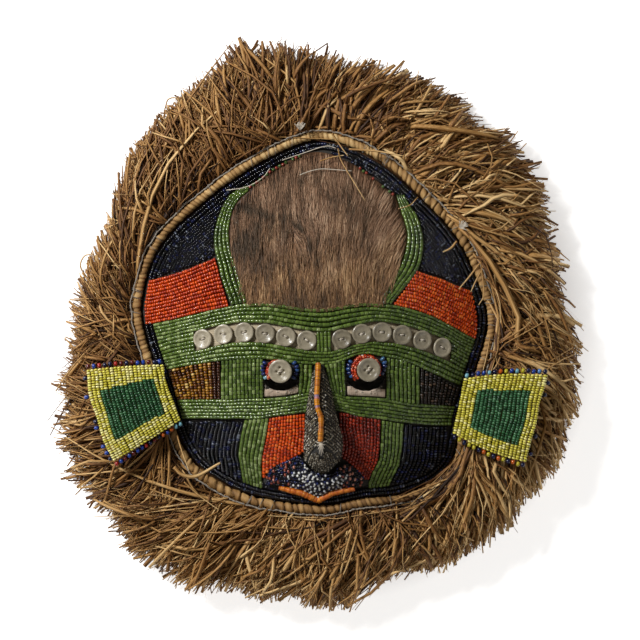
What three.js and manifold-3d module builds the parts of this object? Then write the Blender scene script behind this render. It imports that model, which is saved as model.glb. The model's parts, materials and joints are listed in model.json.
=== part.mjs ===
// A beaded raffia mask, lying on its back with the face up, in millimetres.
// +X is to the right of a person looking at the face, +Y goes up the forehead, +Z is up.
// The origin is on the table, under the middle of the mask.

import * as THREE from 'three';
import { mergeVertices } from 'three/addons/utils/BufferGeometryUtils.js';
import Module from 'manifold-3d';

const wasm = await Module();
wasm.setup();

// Driving dimensions

const RIM_HEIGHT = 30; // the cloth at the rim of the face, above the table
const DOME_RISE = 36; // from the rim up to the middle of the face
const DOME_POWER = 2.4; // a higher number gives a flatter middle
const CLOTH = 4; // thickness of the stiffened cloth
const STRING_PITCH = 2.8; // from one string of beads to the next
const STRING_BASE = 1.1; // underside of a string of beads above the cloth
const STRING_VALLEY = 2.2; // the dip between two strings
const STRING_CREST = 3.2; // the top of a string
const FUR_BASE = 2.1; // the hide stands off the cloth
const SEAM = 1; // bare cloth left between two fields of beads
const RIM_SEAM = 1.6; // and between a field and the strings along the rim
const EDGE_BAND = 5.6; // width of the dark strings that follow the rim
const COIL_RADIUS = 3.1;
const COIL_OFFSET = 4.4; // middle of the coil outside the edge of the face
const COIL_LIFT = 1.5; // and above the cloth at the edge
const TWINE_RADIUS = 0.8;
const TWINE_OFFSET = 9.4;
const TWINE_LIFT = 3.2;
const BROW_BUTTON_RADIUS = 6.65;
const BROW_BUTTON_THICKNESS = 2.4;
const BROW_BUTTONS_A_SIDE = 6;
const ROW_ROOM = 8.2; // from the middle of a brow button to the strings above and below
const ROW_END_ROOM = 7.5; // and to the strings beside the row
const EYE_BUTTON_RADIUS = 8.2;
const EYE_BUTTON_THICKNESS = 2.6;
const EYE_RING_WIDTH = 2.2;
const EYE_RING_HEIGHT = 5;
const STACK_RADIUS = 1.6; // the blue beads at the corners of the eyes
const NOSE_HEIGHT = 22; // the nose tip above the cloth
const NOSE_FLANK = 0.38; // height of its flanks, as a share of its middle
const MOUTH_HEIGHT = 9;
const LIP_RADIUS = 1.7;
const RUFF_STATIONS = 96; // tufts and the grooves between them
const RUFF_TOP = 38;
const RUFF_SHOULDER = 29; // height of the ruff near its tips
const RUFF_TIP = 14; // and at them
const RUFF_FOOT = 0.62; // share of the ruff's width that lies on the table
const RUFF_INNER = 1.2; // from the edge of the face to the ruff
const RUFF_UNDER_RIM = 3; // the ruff's inner lip lies this far under the edge of the cloth
const TWINE_ROOM = 10.9; // the ruff leaves this width to the coil and the twine
const EAR_THICKNESS = 7;
const EAR_INNER_HEIGHT = 41.6; // underside of an ear beside the rim
const EAR_OUTER_HEIGHT = 44.5; // and at its far end
const EAR_RECESS = 2.6; // depth of the hollow that takes the green centre
const EAR_GAP = 1.2; // between the ruff and an ear

// The edge of the face, anticlockwise from the top

const EDGE_POINTS = [
  [0, 126.7], [-40.6, 111.3], [-83.3, 81.2], [-111.7, 52.5], [-123.9, 18.9], [-123.6, -0.7],
  [-109.9, -44.1], [-95.2, -86.8], [-80.5, -104.7], [-47.6, -121.1], [2.1, -127.4], [28, -122.9],
  [63.7, -118], [89.6, -101.5], [98.7, -65.1], [107.8, -35], [116.6, -0.7], [112.7, 19.6],
  [95.9, 57.4], [71.7, 85.1], [40.3, 112.3],
];

// Lines that cross the face, as pairs of x and y

const FUR_TOP = smoothLine([[-50, 94.5], [-28, 110.6], [-2.8, 120.1], [24.5, 110.6], [53, 89]]);
const TEMPLE_TOP_LEFT = smoothLine([[-118, 29.6], [-97, 35.4], [-72, 45.3]]);
const TEMPLE_TOP_RIGHT = smoothLine([[68, 35.7], [88, 28.8], [110, 20]]);
const BROW_TOP = smoothLine([
  [-121, -2.3], [-83.3, 6.3], [-61.6, 11.2], [-40.6, 13.7], [-1.4, 9.8], [31.5, 13.7],
  [63, 9.5], [84, 1.4], [110, -12.8],
]);
const BUTTON_LINE = smoothLine([
  [-117, -20.4], [-81, -11.8], [-60, -7.4], [-37.5, -7.9], [-9.2, -12.7], [3, -13.8],
  [14.9, -11.8], [36, -7], [58.9, -9.5], [84.4, -17.8], [106, -29],
]);
const BROW_BOTTOM = smoothLine([
  [-108, -33.4], [-68.9, -27.3], [-40.3, -25.9], [-14, -29.4], [9.1, -29.1], [28, -22.8],
  [46.2, -24.5], [63.7, -29.4], [99, -45.4],
]);
const UNDER_EYE_TOP = smoothLine([
  [-99.4, -54.3], [-40.3, -53.1], [-24.5, -52], [-7.4, -48.7], [8.8, -48.7], [17.5, -51.5],
  [45.5, -53.4], [70, -57.2], [95.2, -58.7],
]);
const UNDER_EYE_BOTTOM = smoothLine([
  [-95.2, -67.8], [-51.8, -67.8], [-36.4, -66.7], [-9.5, -63], [11.6, -62], [28, -65.5],
  [58.8, -70.4], [94.5, -73.2],
]);
const CHEEK_BOTTOM_LEFT = smoothLine([[-39.6, -109.4], [-32.2, -100.2], [-21, -94.6], [-11, -90.4]]);
const CHEEK_BOTTOM_RIGHT = smoothLine([[13.4, -94], [24.6, -101.9], [34, -110.2]]);
const MOUTH_TOP = smoothLine([
  [-39.6, -110.8], [-32.2, -101.8], [-21, -96.2], [-14, -95.6], [-9, -104], [0.6, -110],
  [9, -108.2], [14.5, -102], [18, -100], [24.6, -103.8], [34, -111.8],
]);
const LIP_LINE = smoothLine([[-29, -115.6], [-16, -119.3], [-2.1, -124.4], [10, -120.6], [24, -116]]);
const LIP_ENDS = [-28, 23];

// Lines that run down the face, as pairs of y and x

const FUR_BORDER_LEFT = smoothLine([
  [12.6, -62.3], [34.4, -69.6], [56, -74.2], [77.3, -69.6], [88.7, -63.1], [95.6, -51.8],
]);
const FUR_LEFT = smoothLine([
  [12.6, -50.5], [34.4, -56.7], [56, -63.1], [77.3, -61.7], [87.5, -55.3], [92.4, -49.7],
]);
const FUR_RIGHT = smoothLine([[13, 40.3], [36.5, 54.6], [50.1, 59.9], [63, 60.9], [86.8, 53.6]]);
const FUR_BORDER_RIGHT = smoothLine([
  [13, 50.1], [36.5, 68.3], [50.1, 72.1], [63, 71.3], [73.7, 68.1], [87.5, 59.5],
]);
const CHEEK_LEFT_OUTER = smoothLine([[-114, -54], [-99.4, -56], [-91.7, -57.4], [-67.9, -52.3]]);
const CHEEK_LEFT_INNER = smoothLine([[-115.5, -40.3], [-98, -40.8], [-81.9, -38.1], [-67.6, -35.7]]);
const CHEEK_RIGHT_INNER = smoothLine([[-113, 34], [-105.4, 36.8], [-95.2, 41.3], [-69.5, 42.7]]);
const CHEEK_RIGHT_OUTER = smoothLine([[-118, 46.9], [-108.2, 51.5], [-98, 56.2], [-71, 58.8]]);
const NOSE_MIDDLE = smoothLine([[-107, 0.8], [-82.6, 2.3], [-64.6, 0.7], [-40.6, 0], [-28.7, -0.7]]);
const NOSE_HALF_WIDTH = smoothLine([
  [-107, 3.6], [-104, 7], [-98, 11.2], [-91, 13.1], [-82.6, 13.2], [-64.6, 10.2], [-52, 7.8],
  [-40.6, 5.1], [-28.7, 3.2],
]);
const NOSE_RELIEF = smoothLine([
  [-107, 3.5], [-102, 9], [-95, 17], [-84.7, NOSE_HEIGHT], [-64.6, 16], [-40.6, 8], [-28.7, 4.5],
]);
const RIDGE_MIDDLE = smoothLine([[-82, 0.3], [-66, 0.6], [-58, -2], [-30, -1.2]]);

// The rows of brow buttons, from the first button to the last

const BROW_ROWS = { left: [-81, -9.2], right: [14.9, 84.4] };

// The outer ends of the cheeks

const CHEEK_ENDS = [-91, 89];

// The eyes: places of the button, the slit under it and the arc of orange strings round it

const EYES = [
  {
    side: 'left',
    button: [-28.1, -34.5],
    ring: [-29.4, -35.2],
    ringRadius: 7.9,
    arc: [-25, 215],
    beads: [-39.2, -16.8],
    slitX: -27.1,
    slitHalf: 12.4,
  },
  {
    side: 'right',
    button: [34, -33.7],
    ring: [32.4, -34],
    ringRadius: 9.8,
    arc: [-20, 222],
    beads: [20.6, 44.8],
    slitX: 31.7,
    slitHalf: 13.2,
  },
];
const SLIT_TOP = -38.2;
const SLIT_DEPTH = 10;

// The ears: corners at the outer top, inner top, inner bottom and outer bottom

const EARS = [
  { side: 'left', corners: [[-164, -32.9], [-109.7, -29.4], [-96.9, -68.6], [-144.7, -97.9]] },
  { side: 'right', corners: [[158.6, -36.5], [100.7, -39.5], [92.9, -77.9], [143.6, -98.6]] },
];
const EAR_SPAN = [97, 157]; // where the ears' slope begins and ends, as x on either side

// How far the ruff reaches from the origin, as pairs of degrees and millimetres

const RUFF_REACH = smoothLine([
  [0, 177], [20, 173], [35, 183], [60, 184], [78, 188], [97, 200], [108, 205], [122, 190],
  [140, 176], [158, 167], [172, 175], [190, 182], [210, 206], [240, 207], [262, 198], [283, 196],
  [290, 189], [308, 195], [322, 196], [340, 188], [360, 177],
]);

// Colours

const GREEN = 0x5f7a3f;
const ORANGE = 0xc2521f;
const DARK_RED = 0x6d2413;
const NAVY = 0x1b1e33;
const BROWN = 0x7a5626;
const DARK_BROWN = 0x33281b;
const RAFFIA = 0x97713f;
const COIL = 0xa98b58;
const TWINE = 0x8d8a84;
const CLOTH_WHITE = 0xbdb39c;
const PEARL = 0xc2b9aa;
const FUR = 0x7c6a58;
const GREY_BEADS = 0x4b4b44;
const OCHRE = 0xb9781c;
const MOUTH_BEADS = 0x33344f;
const LIP_ORANGE = 0xb45f18;
const YELLOW = 0xc8b03c;
const EAR_GREEN = 0x2e5a39;
const BLUE = 0x34508c;

const BEAD_FINISH = { roughness: 0.3, metalness: 0 };
const FIBRE_FINISH = { roughness: 0.85, metalness: 0 };
const PEARL_FINISH = { roughness: 0.25, metalness: 0 };

// Curves and numbers

function lerp(a, b, t) {
  return a + (b - a) * t;
}

// A smooth line through pairs, ordered by their first number, level beyond its ends
function smoothLine(pairs) {
  const last = pairs.length - 1;
  const slopes = pairs.map((pair, i) => {
    const before = pairs[Math.max(i - 1, 0)];
    const after = pairs[Math.min(i + 1, last)];
    return (after[1] - before[1]) / (after[0] - before[0]);
  });
  return (t) => {
    if (t <= pairs[0][0]) return pairs[0][1];
    if (t >= pairs[last][0]) return pairs[last][1];
    const i = pairs.findIndex((pair) => pair[0] > t) - 1;
    const width = pairs[i + 1][0] - pairs[i][0];
    const s = (t - pairs[i][0]) / width;
    const rise = pairs[i + 1][1] - pairs[i][1];
    const startPull = slopes[i] * width - rise;
    const endPull = rise - slopes[i + 1] * width;
    return pairs[i][1] + rise * s + s * (1 - s) * ((1 - s) * startPull + s * endPull);
  };
}

// A repeatable scatter of numbers between 0 and 1
function scatter(seed) {
  const value = Math.sin(seed * 127.1) * 43758.5453;
  return value - Math.floor(value);
}

// The face: its edge and its dome

const EDGE_SAMPLES = 720;
const edgeCurve = new THREE.CatmullRomCurve3(
  EDGE_POINTS.map(([x, y]) => new THREE.Vector3(x, y, 0)), true, 'centripetal',
);
const edgePolar = edgeCurve.getPoints(EDGE_SAMPLES)
  .map((p) => [(Math.atan2(p.y, p.x) + 2 * Math.PI) % (2 * Math.PI), Math.hypot(p.x, p.y)])
  .sort((a, b) => a[0] - b[0]);

// Distance from the origin to the edge of the face, in one direction
function edgeRadius(angle) {
  const turn = (angle + 4 * Math.PI) % (2 * Math.PI);
  const found = edgePolar.findIndex((sample) => sample[0] > turn);
  const after = edgePolar[found < 0 ? 0 : found];
  const before = edgePolar[found <= 0 ? edgePolar.length - 1 : found - 1];
  const width = (after[0] - before[0] + 2 * Math.PI) % (2 * Math.PI);
  const part = width > 0 ? ((turn - before[0] + 2 * Math.PI) % (2 * Math.PI)) / width : 0;
  return lerp(before[1], after[1], part);
}

// The dome is rounder than the edge: its plan keeps only the first waves of the edge's radius
const DOME_WAVES = 4;
const DOME_SAMPLES = 360;
const domeWaves = [];
for (let wave = 0; wave <= DOME_WAVES; wave += 1) {
  let cosine = 0;
  let sine = 0;
  for (let i = 0; i < DOME_SAMPLES; i += 1) {
    const angle = (2 * Math.PI * i) / DOME_SAMPLES;
    cosine += (edgeRadius(angle) * Math.cos(wave * angle)) / DOME_SAMPLES;
    sine += (edgeRadius(angle) * Math.sin(wave * angle)) / DOME_SAMPLES;
  }
  domeWaves.push([cosine, sine]);
}

function domeRadius(angle) {
  return domeWaves.reduce((sum, [cosine, sine], wave) => {
    const share = wave === 0 ? 1 : 2;
    return sum + share * (cosine * Math.cos(wave * angle) + sine * Math.sin(wave * angle));
  }, 0);
}

// Height of the cloth over the table
function faceHeight(x, y) {
  const share = Math.hypot(x, y) / domeRadius(Math.atan2(y, x));
  return RIM_HEIGHT + DOME_RISE * (1 - share ** DOME_POWER);
}

// Height of the cloth at its edge, in one direction
function rimHeight(angle) {
  const reach = edgeRadius(angle);
  return faceHeight(reach * Math.cos(angle), reach * Math.sin(angle));
}

// The direction that the cloth faces
function faceNormal(x, y) {
  const step = 0.5;
  const slopeX = (faceHeight(x + step, y) - faceHeight(x - step, y)) / (2 * step);
  const slopeY = (faceHeight(x, y + step) - faceHeight(x, y - step)) / (2 * step);
  return new THREE.Vector3(-slopeX, -slopeY, 1).normalize();
}

// A point above the cloth; height is measured square to it, and x and y are kept
function overFace(x, y, height) {
  return new THREE.Vector3(x, y, faceHeight(x, y) + height / faceNormal(x, y).z);
}

// How far a point lies inside the edge of the face
function insideEdge(x, y) {
  return edgeRadius(Math.atan2(y, x)) - Math.hypot(x, y);
}

// Where the inner side of the dark edge band crosses a level line, on one side of the face
function bandX(y, side) {
  return innermost((x) => insideEdge(side * x, y)) * side;
}

// Where the inner side of the band crosses a plumb line, at the chin
function bandY(x) {
  return -innermost((y) => insideEdge(x, -y));
}

// Walks out from the middle until less than the band and its seam is left
function innermost(depthAt) {
  const step = 0.25;
  let reach = 0;
  while (depthAt(reach) > EDGE_BAND + RIM_SEAM) reach += step;
  return reach;
}

// Solids

const mask = new THREE.Group();

// Merges shared corners and turns the faces outward
function closeUp(geometry) {
  geometry.deleteAttribute('normal');
  geometry.deleteAttribute('uv');
  const merged = mergeVertices(geometry, 1e-4);
  const at = merged.getAttribute('position');
  const index = merged.getIndex().array;
  const corner = (i) => new THREE.Vector3().fromBufferAttribute(at, i);
  let volume = 0;
  for (let i = 0; i < index.length; i += 3) {
    const normal = corner(index[i + 1]).cross(corner(index[i + 2]));
    volume += corner(index[i]).dot(normal);
  }
  if (volume < 0) index.reverse();
  return merged;
}

function addPiece(name, geometry, colour, finish) {
  const material = new THREE.MeshStandardMaterial({ color: colour, flatShading: true, ...finish });
  const mesh = new THREE.Mesh(closeUp(geometry), material);
  mesh.name = name;
  mask.add(mesh);
  return mesh;
}

// Moves every corner of a shape to the place that a function gives
function bend(geometry, place) {
  const at = geometry.getAttribute('position');
  for (let i = 0; i < at.count; i += 1) {
    const point = place(at.getX(i), at.getY(i), at.getZ(i));
    at.setXYZ(i, point.x, point.y, point.z);
  }
  return geometry;
}

function toManifold(geometry) {
  const closed = closeUp(geometry);
  return new wasm.Manifold(new wasm.Mesh({
    numProp: 3,
    vertProperties: new Float32Array(closed.getAttribute('position').array),
    triVerts: new Uint32Array(closed.getIndex().array),
  }));
}

function fromManifold(solid) {
  const mesh = solid.getMesh();
  const geometry = new THREE.BufferGeometry();
  geometry.setAttribute('position', new THREE.BufferAttribute(mesh.vertProperties, 3));
  geometry.setIndex(new THREE.BufferAttribute(mesh.triVerts, 1));
  return geometry;
}

// Fills the strip between two rows of corner numbers, which may differ in length
function strip(index, lower, upper) {
  const lowerLast = lower.length - 1;
  const upperLast = upper.length - 1;
  let i = 0;
  let j = 0;
  while (i < lowerLast || j < upperLast) {
    const lowerIsNext = (i + 1) * upperLast <= (j + 1) * lowerLast;
    if (j === upperLast || (i < lowerLast && lowerIsNext)) {
      index.push(lower[i], lower[i + 1], upper[j]);
      i += 1;
    } else {
      index.push(lower[i], upper[j + 1], upper[j]);
      j += 1;
    }
  }
}

// A closed mat: its top has twice as many columns as strings, its underside only a few.
// place gives the corner from how far across and along the mat it lies, and on which side:
// 0 is the underside, 1 the dip between two strings and 2 the crest of a string.
function mat(strings, underColumns, steps, place) {
  const corners = [];
  const row = (columns, along, side) => {
    const numbers = [];
    for (let i = 0; i <= columns; i += 1) {
      numbers.push(corners.length);
      corners.push(place(i / columns, along, side(i)));
    }
    return numbers;
  };
  const tops = [];
  const unders = [];
  for (let step = 0; step <= steps; step += 1) {
    tops.push(row(2 * strings, step / steps, (i) => (i % 2 ? 2 : 1)));
    unders.push(row(underColumns, step / steps, () => 0));
  }
  const index = [];
  for (let step = 0; step < steps; step += 1) {
    strip(index, tops[step], tops[step + 1]);
    strip(index, unders[step + 1], unders[step]);
  }
  strip(index, unders[0], tops[0]);
  strip(index, tops[steps], unders[steps]);
  const column = (rows, last) => rows.map((numbers) => (last ? numbers[numbers.length - 1] : numbers[0]));
  strip(index, column(tops, false), column(unders, false));
  strip(index, column(unders, true), column(tops, true));
  const geometry = new THREE.BufferGeometry().setFromPoints(corners);
  geometry.setIndex(index);
  return geometry;
}

// A field of beads: a mat whose strings lie side by side over the face.
// layout gives x and y from how far along and how far across the field a point lies.
function beadField({ strings, underColumns = 1, steps, layout, relief = flat, base = stringBase }) {
  return mat(strings, underColumns, steps, (across, along, side) => {
    const [x, y] = layout(along, across);
    if (side === 0) return overFace(x, y, base(x, y));
    const top = side === 2 ? STRING_CREST : STRING_VALLEY;
    return overFace(x, y, top + relief(along, across));
  });
}

const flat = () => 0;
const stringBase = () => STRING_BASE;

// Strings that run down the face, between two lines across it and two lines down it.
// topY and bottomY are the heights at which the strings begin and end.
function downward(top, bottom, left, right, topY, bottomY) {
  const xAt = (y, across) => lerp(left(y), right(y), across);
  return (along, across) => {
    const y = lerp(top(xAt(topY, across)), bottom(xAt(bottomY, across)), along);
    return [xAt(y, across), y];
  };
}

// Strings that run across the face, between two lines and two ends
function crosswise(upper, lower, start, end) {
  return (along, across) => {
    const x = lerp(start(across), end(across), along);
    return [x, lerp(upper(x), lower(x), across)];
  };
}

const level = (value) => () => value;
const lowered = (line, drop) => (t) => line(t) - drop;

// The stiff cloth of the face, a thin dome with two eye slits

const PANEL_STATIONS = 32;
const PANEL_RINGS = 5;

function clothDome() {
  const profile = [];
  for (let i = 0; i <= PANEL_RINGS; i += 1) profile.push(new THREE.Vector2(i / PANEL_RINGS, 1));
  for (let i = PANEL_RINGS; i >= 0; i -= 1) profile.push(new THREE.Vector2(i / PANEL_RINGS, 0));
  const lathe = new THREE.LatheGeometry(profile, PANEL_STATIONS);
  return bend(lathe, (across, top, down) => {
    const angle = Math.atan2(-down, across);
    const reach = Math.hypot(across, down) * edgeRadius(angle);
    const x = reach * Math.cos(angle);
    const y = reach * Math.sin(angle);
    return new THREE.Vector3(x, y, faceHeight(x, y) - (1 - top) * CLOTH);
  });
}

function slitTool(eye) {
  const outline = new THREE.Shape();
  outline.absellipse(eye.slitX, SLIT_TOP, eye.slitHalf, SLIT_DEPTH, Math.PI, 2 * Math.PI);
  const height = RIM_HEIGHT + DOME_RISE + CLOTH;
  const options = { depth: height, bevelEnabled: false, curveSegments: 7 };
  return new THREE.ExtrudeGeometry(outline, options);
}

let panel = toManifold(clothDome());
for (const eye of EYES) panel = panel.subtract(toManifold(slitTool(eye)));
addPiece('face_panel', fromManifold(panel), CLOTH_WHITE, FIBRE_FINISH);

// Rings that follow the rim: each is a torus whose path and section are redrawn.
// place gives the reach and the height of a corner from its station and its side.
function rimRing(stations, sides, place) {
  const torus = new THREE.TorusGeometry(2, 1, sides, stations);
  return bend(torus, (x, y, z) => {
    const angle = Math.atan2(y, x);
    const turn = Math.atan2(z, Math.hypot(x, y) - 2);
    const station = Math.round((angle / (2 * Math.PI)) * stations + stations) % stations;
    const side = Math.round((turn / (2 * Math.PI)) * sides + sides) % sides;
    const [reach, height] = place(angle, turn, station, side);
    return new THREE.Vector3(reach * Math.cos(angle), reach * Math.sin(angle), height);
  });
}

// The coil of raffia, wrapped so that it swells between the bindings
const COIL_SWELL = 0.08;
const coil = rimRing(56, 5, (angle, turn, station) => {
  const radius = COIL_RADIUS * (station % 2 ? 1 + COIL_SWELL : 1 - COIL_SWELL);
  return [
    edgeRadius(angle) + COIL_OFFSET + radius * Math.cos(turn),
    rimHeight(angle) + COIL_LIFT + radius * Math.sin(turn),
  ];
});
addPiece('rim_coil', coil, COIL, FIBRE_FINISH);

// The grey twine that sews the coil to the ruff
const twine = rimRing(44, 3, (angle, turn) => [
  edgeRadius(angle) + TWINE_OFFSET + TWINE_RADIUS * Math.cos(turn),
  rimHeight(angle) + TWINE_LIFT + TWINE_RADIUS * Math.sin(turn),
]);
addPiece('rim_twine', twine, TWINE, FIBRE_FINISH);

// Two strings of dark beads along the rim of the face: inset from the edge and height
const EDGE_SECTION = [
  [0.5, STRING_BASE], [1.8, STRING_CREST], [EDGE_BAND - 1.5, STRING_CREST],
  [EDGE_BAND, STRING_BASE], [EDGE_BAND / 2, STRING_BASE],
];
const edgeBand = rimRing(44, EDGE_SECTION.length, (angle, turn, station, side) => {
  const [inset, height] = EDGE_SECTION[side];
  const reach = edgeRadius(angle) - inset;
  return [reach, overFace(reach * Math.cos(angle), reach * Math.sin(angle), height).z];
});
addPiece('edge_navy_strings', edgeBand, NAVY, BEAD_FINISH);

// The ears: a place on an ear, the height of its underside, and whether it covers a point

function earPlace(ear, across, down) {
  const [outerTop, innerTop, innerBottom, outerBottom] = ear.corners;
  return [0, 1].map((axis) => lerp(
    lerp(outerTop[axis], innerTop[axis], across),
    lerp(outerBottom[axis], innerBottom[axis], across),
    down,
  ));
}

function earHeight(x) {
  const share = (Math.abs(x) - EAR_SPAN[0]) / (EAR_SPAN[1] - EAR_SPAN[0]);
  return lerp(EAR_INNER_HEIGHT, EAR_OUTER_HEIGHT, share);
}

const EAR_MARGIN = 10;
const earBoxes = EARS.map((ear) => {
  const corners = ear.corners.map(([x, y]) => new THREE.Vector2(x, y));
  return new THREE.Box2().setFromPoints(corners).expandByScalar(EAR_MARGIN);
});

function underEar(x, y) {
  return earBoxes.some((box) => box.containsPoint(new THREE.Vector2(x, y)));
}

// The bushy ruff: a ring of raffia tufts that fan outward, flat below

// The ruff's section in one direction, from the tip over the top to the foot
function ruffSection(angle, station) {
  const start = edgeRadius(angle);
  const rim = rimHeight(angle);
  const degrees = (THREE.MathUtils.radToDeg(angle) + 360) % 360;
  const tuft = station % 2 === 0;
  const jag = tuft ? 4 - 9 * scatter(station) : -9 - 9 * scatter(station + 0.5);
  const swell = tuft ? 2 * scatter(station + 7) : -4 - 2 * scatter(station + 3);
  const reach = RUFF_REACH(degrees) + jag;
  const width = reach - start;
  return [
    [reach, RUFF_TIP + 6 * scatter(station + 1)],
    [start + 0.8 * width, RUFF_SHOULDER + swell],
    [start + 0.45 * width, RUFF_TOP + swell],
    [start + TWINE_ROOM + 1, rim + 4.5 + swell / 3],
    [start + TWINE_ROOM - 1.5, rim - RUFF_UNDER_RIM],
    [start + RUFF_INNER, rim - RUFF_UNDER_RIM],
    [start + RUFF_INNER, 0],
    [start + RUFF_FOOT * width, 0],
  ];
}

const ruff = rimRing(RUFF_STATIONS, 8, (angle, turn, station, side) => {
  const [reach, height] = ruffSection(angle, station)[side];
  const x = reach * Math.cos(angle);
  const y = reach * Math.sin(angle);
  return [reach, underEar(x, y) ? Math.min(height, earHeight(x) - EAR_GAP) : height];
});
addPiece('raffia_ruff', ruff, RAFFIA, FIBRE_FINISH);

// Forehead: dark corners, the fur patch and its green border

const foreheadLeft = downward(
  level(92), TEMPLE_TOP_LEFT, (y) => bandX(y, -1), (y) => FUR_BORDER_LEFT(y) - SEAM, 92, 45,
);
addPiece('forehead_navy_left', beadField({
  strings: 6, underColumns: 3, steps: 4, layout: foreheadLeft,
}), NAVY, BEAD_FINISH);

const foreheadRight = downward(
  level(86), TEMPLE_TOP_RIGHT, (y) => FUR_BORDER_RIGHT(y) + SEAM, (y) => bandX(y, 1), 86, 32,
);
addPiece('forehead_navy_right', beadField({
  strings: 6, underColumns: 3, steps: 4, layout: foreheadRight,
}), NAVY, BEAD_FINISH);

const furBorderBottom = lowered(BROW_TOP, -SEAM);
addPiece('fur_border_left', beadField({
  strings: 4,
  steps: 6,
  layout: downward(level(93), furBorderBottom, FUR_BORDER_LEFT, lowered(FUR_LEFT, SEAM), 93, 14),
}), GREEN, BEAD_FINISH);
addPiece('fur_border_right', beadField({
  strings: 4,
  steps: 6,
  layout: downward(level(87), furBorderBottom, (y) => FUR_RIGHT(y) + SEAM, FUR_BORDER_RIGHT, 87, 14),
}), GREEN, BEAD_FINISH);

// Locks of hair: low ridges that lean down the forehead and end in a ragged line
const furRelief = (along, across) => {
  const lock = Math.sin(across * 46 + 2.6 * Math.sin(along * 5 + across * 9));
  return 1.4 + 0.7 * lock + 0.9 * Math.sin(along * Math.PI);
};
addPiece('forehead_fur', beadField({
  strings: 10,
  underColumns: 7,
  steps: 5,
  layout: downward(
    lowered(FUR_TOP, SEAM), lowered(BROW_TOP, -2 * SEAM), FUR_LEFT, FUR_RIGHT, 90, 14,
  ),
  relief: furRelief,
  base: () => FUR_BASE,
}), FUR, FIBRE_FINISH);

// Temples: orange strings that run across

addPiece('temple_orange_left', beadField({
  strings: 12,
  underColumns: 2,
  steps: 3,
  layout: crosswise(
    lowered(TEMPLE_TOP_LEFT, SEAM),
    lowered(BROW_TOP, -SEAM),
    (across) => Math.max(bandX(lerp(29, 0, across), -1), -119),
    (across) => FUR_BORDER_LEFT(lerp(44, 13, across)) - SEAM,
  ),
}), ORANGE, BEAD_FINISH);
addPiece('temple_orange_right', beadField({
  strings: 9,
  underColumns: 2,
  steps: 3,
  layout: crosswise(
    lowered(TEMPLE_TOP_RIGHT, SEAM),
    lowered(BROW_TOP, -SEAM),
    (across) => FUR_BORDER_RIGHT(lerp(34, 13, across)) + SEAM,
    (across) => bandX(lerp(20, -9, across), 1),
  ),
}), ORANGE, BEAD_FINISH);

// Brow: green strings above and below a row of buttons, with short strings at both ends

const browUpperEdge = lowered(BUTTON_LINE, -ROW_ROOM);
const browLowerEdge = lowered(BUTTON_LINE, ROW_ROOM);
const leftEnd = (yUpper, yLower) => (across) => bandX(lerp(yUpper, yLower, across), -1);
const rightEnd = (yUpper, yLower) => (across) => bandX(lerp(yUpper, yLower, across), 1);

addPiece('brow_green_upper', beadField({
  strings: 5,
  steps: 11,
  layout: crosswise(BROW_TOP, browUpperEdge, leftEnd(-2, -14), rightEnd(-12, -22)),
}), GREEN, BEAD_FINISH);
addPiece('brow_green_lower', beadField({
  strings: 4,
  steps: 11,
  layout: crosswise(browLowerEdge, BROW_BOTTOM, leftEnd(-26, -33), rightEnd(-35, -45)),
}), GREEN, BEAD_FINISH);

const browEndUpper = lowered(browUpperEdge, SEAM);
const browEndLower = lowered(browLowerEdge, -1.5 * SEAM);
addPiece('brow_green_end_left', beadField({
  strings: 4,
  steps: 2,
  layout: crosswise(
    browEndUpper, browEndLower, leftEnd(-15, -26), level(BROW_ROWS.left[0] - ROW_END_ROOM),
  ),
}), GREEN, BEAD_FINISH);
addPiece('brow_green_end_right', beadField({
  strings: 4,
  steps: 1,
  layout: crosswise(
    browEndUpper, browEndLower, level(BROW_ROWS.right[1] + ROW_END_ROOM), rightEnd(-23, -35),
  ),
}), GREEN, BEAD_FINISH);
addPiece('bridge_green', beadField({
  strings: 4,
  steps: 1,
  layout: downward(
    browEndUpper, browEndLower, level(BROW_ROWS.left[1] + ROW_END_ROOM),
    level(BROW_ROWS.right[0] - ROW_END_ROOM), -8, -20,
  ),
}), GREEN, BEAD_FINISH);

// Eye row: brown at the temples, green beside the eyes and beside the nose

const rowTop = lowered(BROW_BOTTOM, SEAM);
const rowBottom = lowered(UNDER_EYE_TOP, -SEAM);
const WIDE_FIELD = 7; // a field of more strings gets a second facet underneath

function eyeRowField(name, from, to, strings, colour) {
  addPiece(name, beadField({
    strings,
    underColumns: strings > WIDE_FIELD ? 2 : 1,
    steps: 2,
    layout: downward(rowTop, rowBottom, from, to, -32, -52),
  }), colour, BEAD_FINISH);
}

eyeRowField('outer_eye_brown_left', (y) => bandX(y, -1), level(-69.6), 10, BROWN);
eyeRowField('eye_side_green_left', level(-68.6), level(-41.4), 10, GREEN);
eyeRowField('inner_eye_green_left', level(-14), level(-9.2), 2, GREEN);
eyeRowField('inner_eye_green_right', level(9.4), level(17.2), 3, GREEN);
eyeRowField('eye_side_green_right', level(47), level(69.5), 8, GREEN);
eyeRowField('outer_eye_brown_right', level(70.5), (y) => bandX(y, 1), 9, DARK_BROWN);

// Under the eyes: five green strings on each side of the nose

const besideNose = (y, side) => NOSE_MIDDLE(y) + side * (NOSE_HALF_WIDTH(y) + SEAM);

addPiece('under_eye_green_left', beadField({
  strings: 5,
  steps: 6,
  layout: crosswise(
    UNDER_EYE_TOP,
    UNDER_EYE_BOTTOM,
    leftEnd(-55, -67),
    (across) => besideNose(lerp(-49, -63, across), -1),
  ),
}), GREEN, BEAD_FINISH);
addPiece('under_eye_green_right', beadField({
  strings: 5,
  steps: 6,
  layout: crosswise(
    UNDER_EYE_TOP,
    UNDER_EYE_BOTTOM,
    (across) => besideNose(lerp(-49, -63, across), 1),
    rightEnd(-58, -72),
  ),
}), GREEN, BEAD_FINISH);

// Cheeks: dark, green and orange strings that run down to the chin and the mouth

const cheekTop = lowered(UNDER_EYE_BOTTOM, SEAM);

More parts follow.
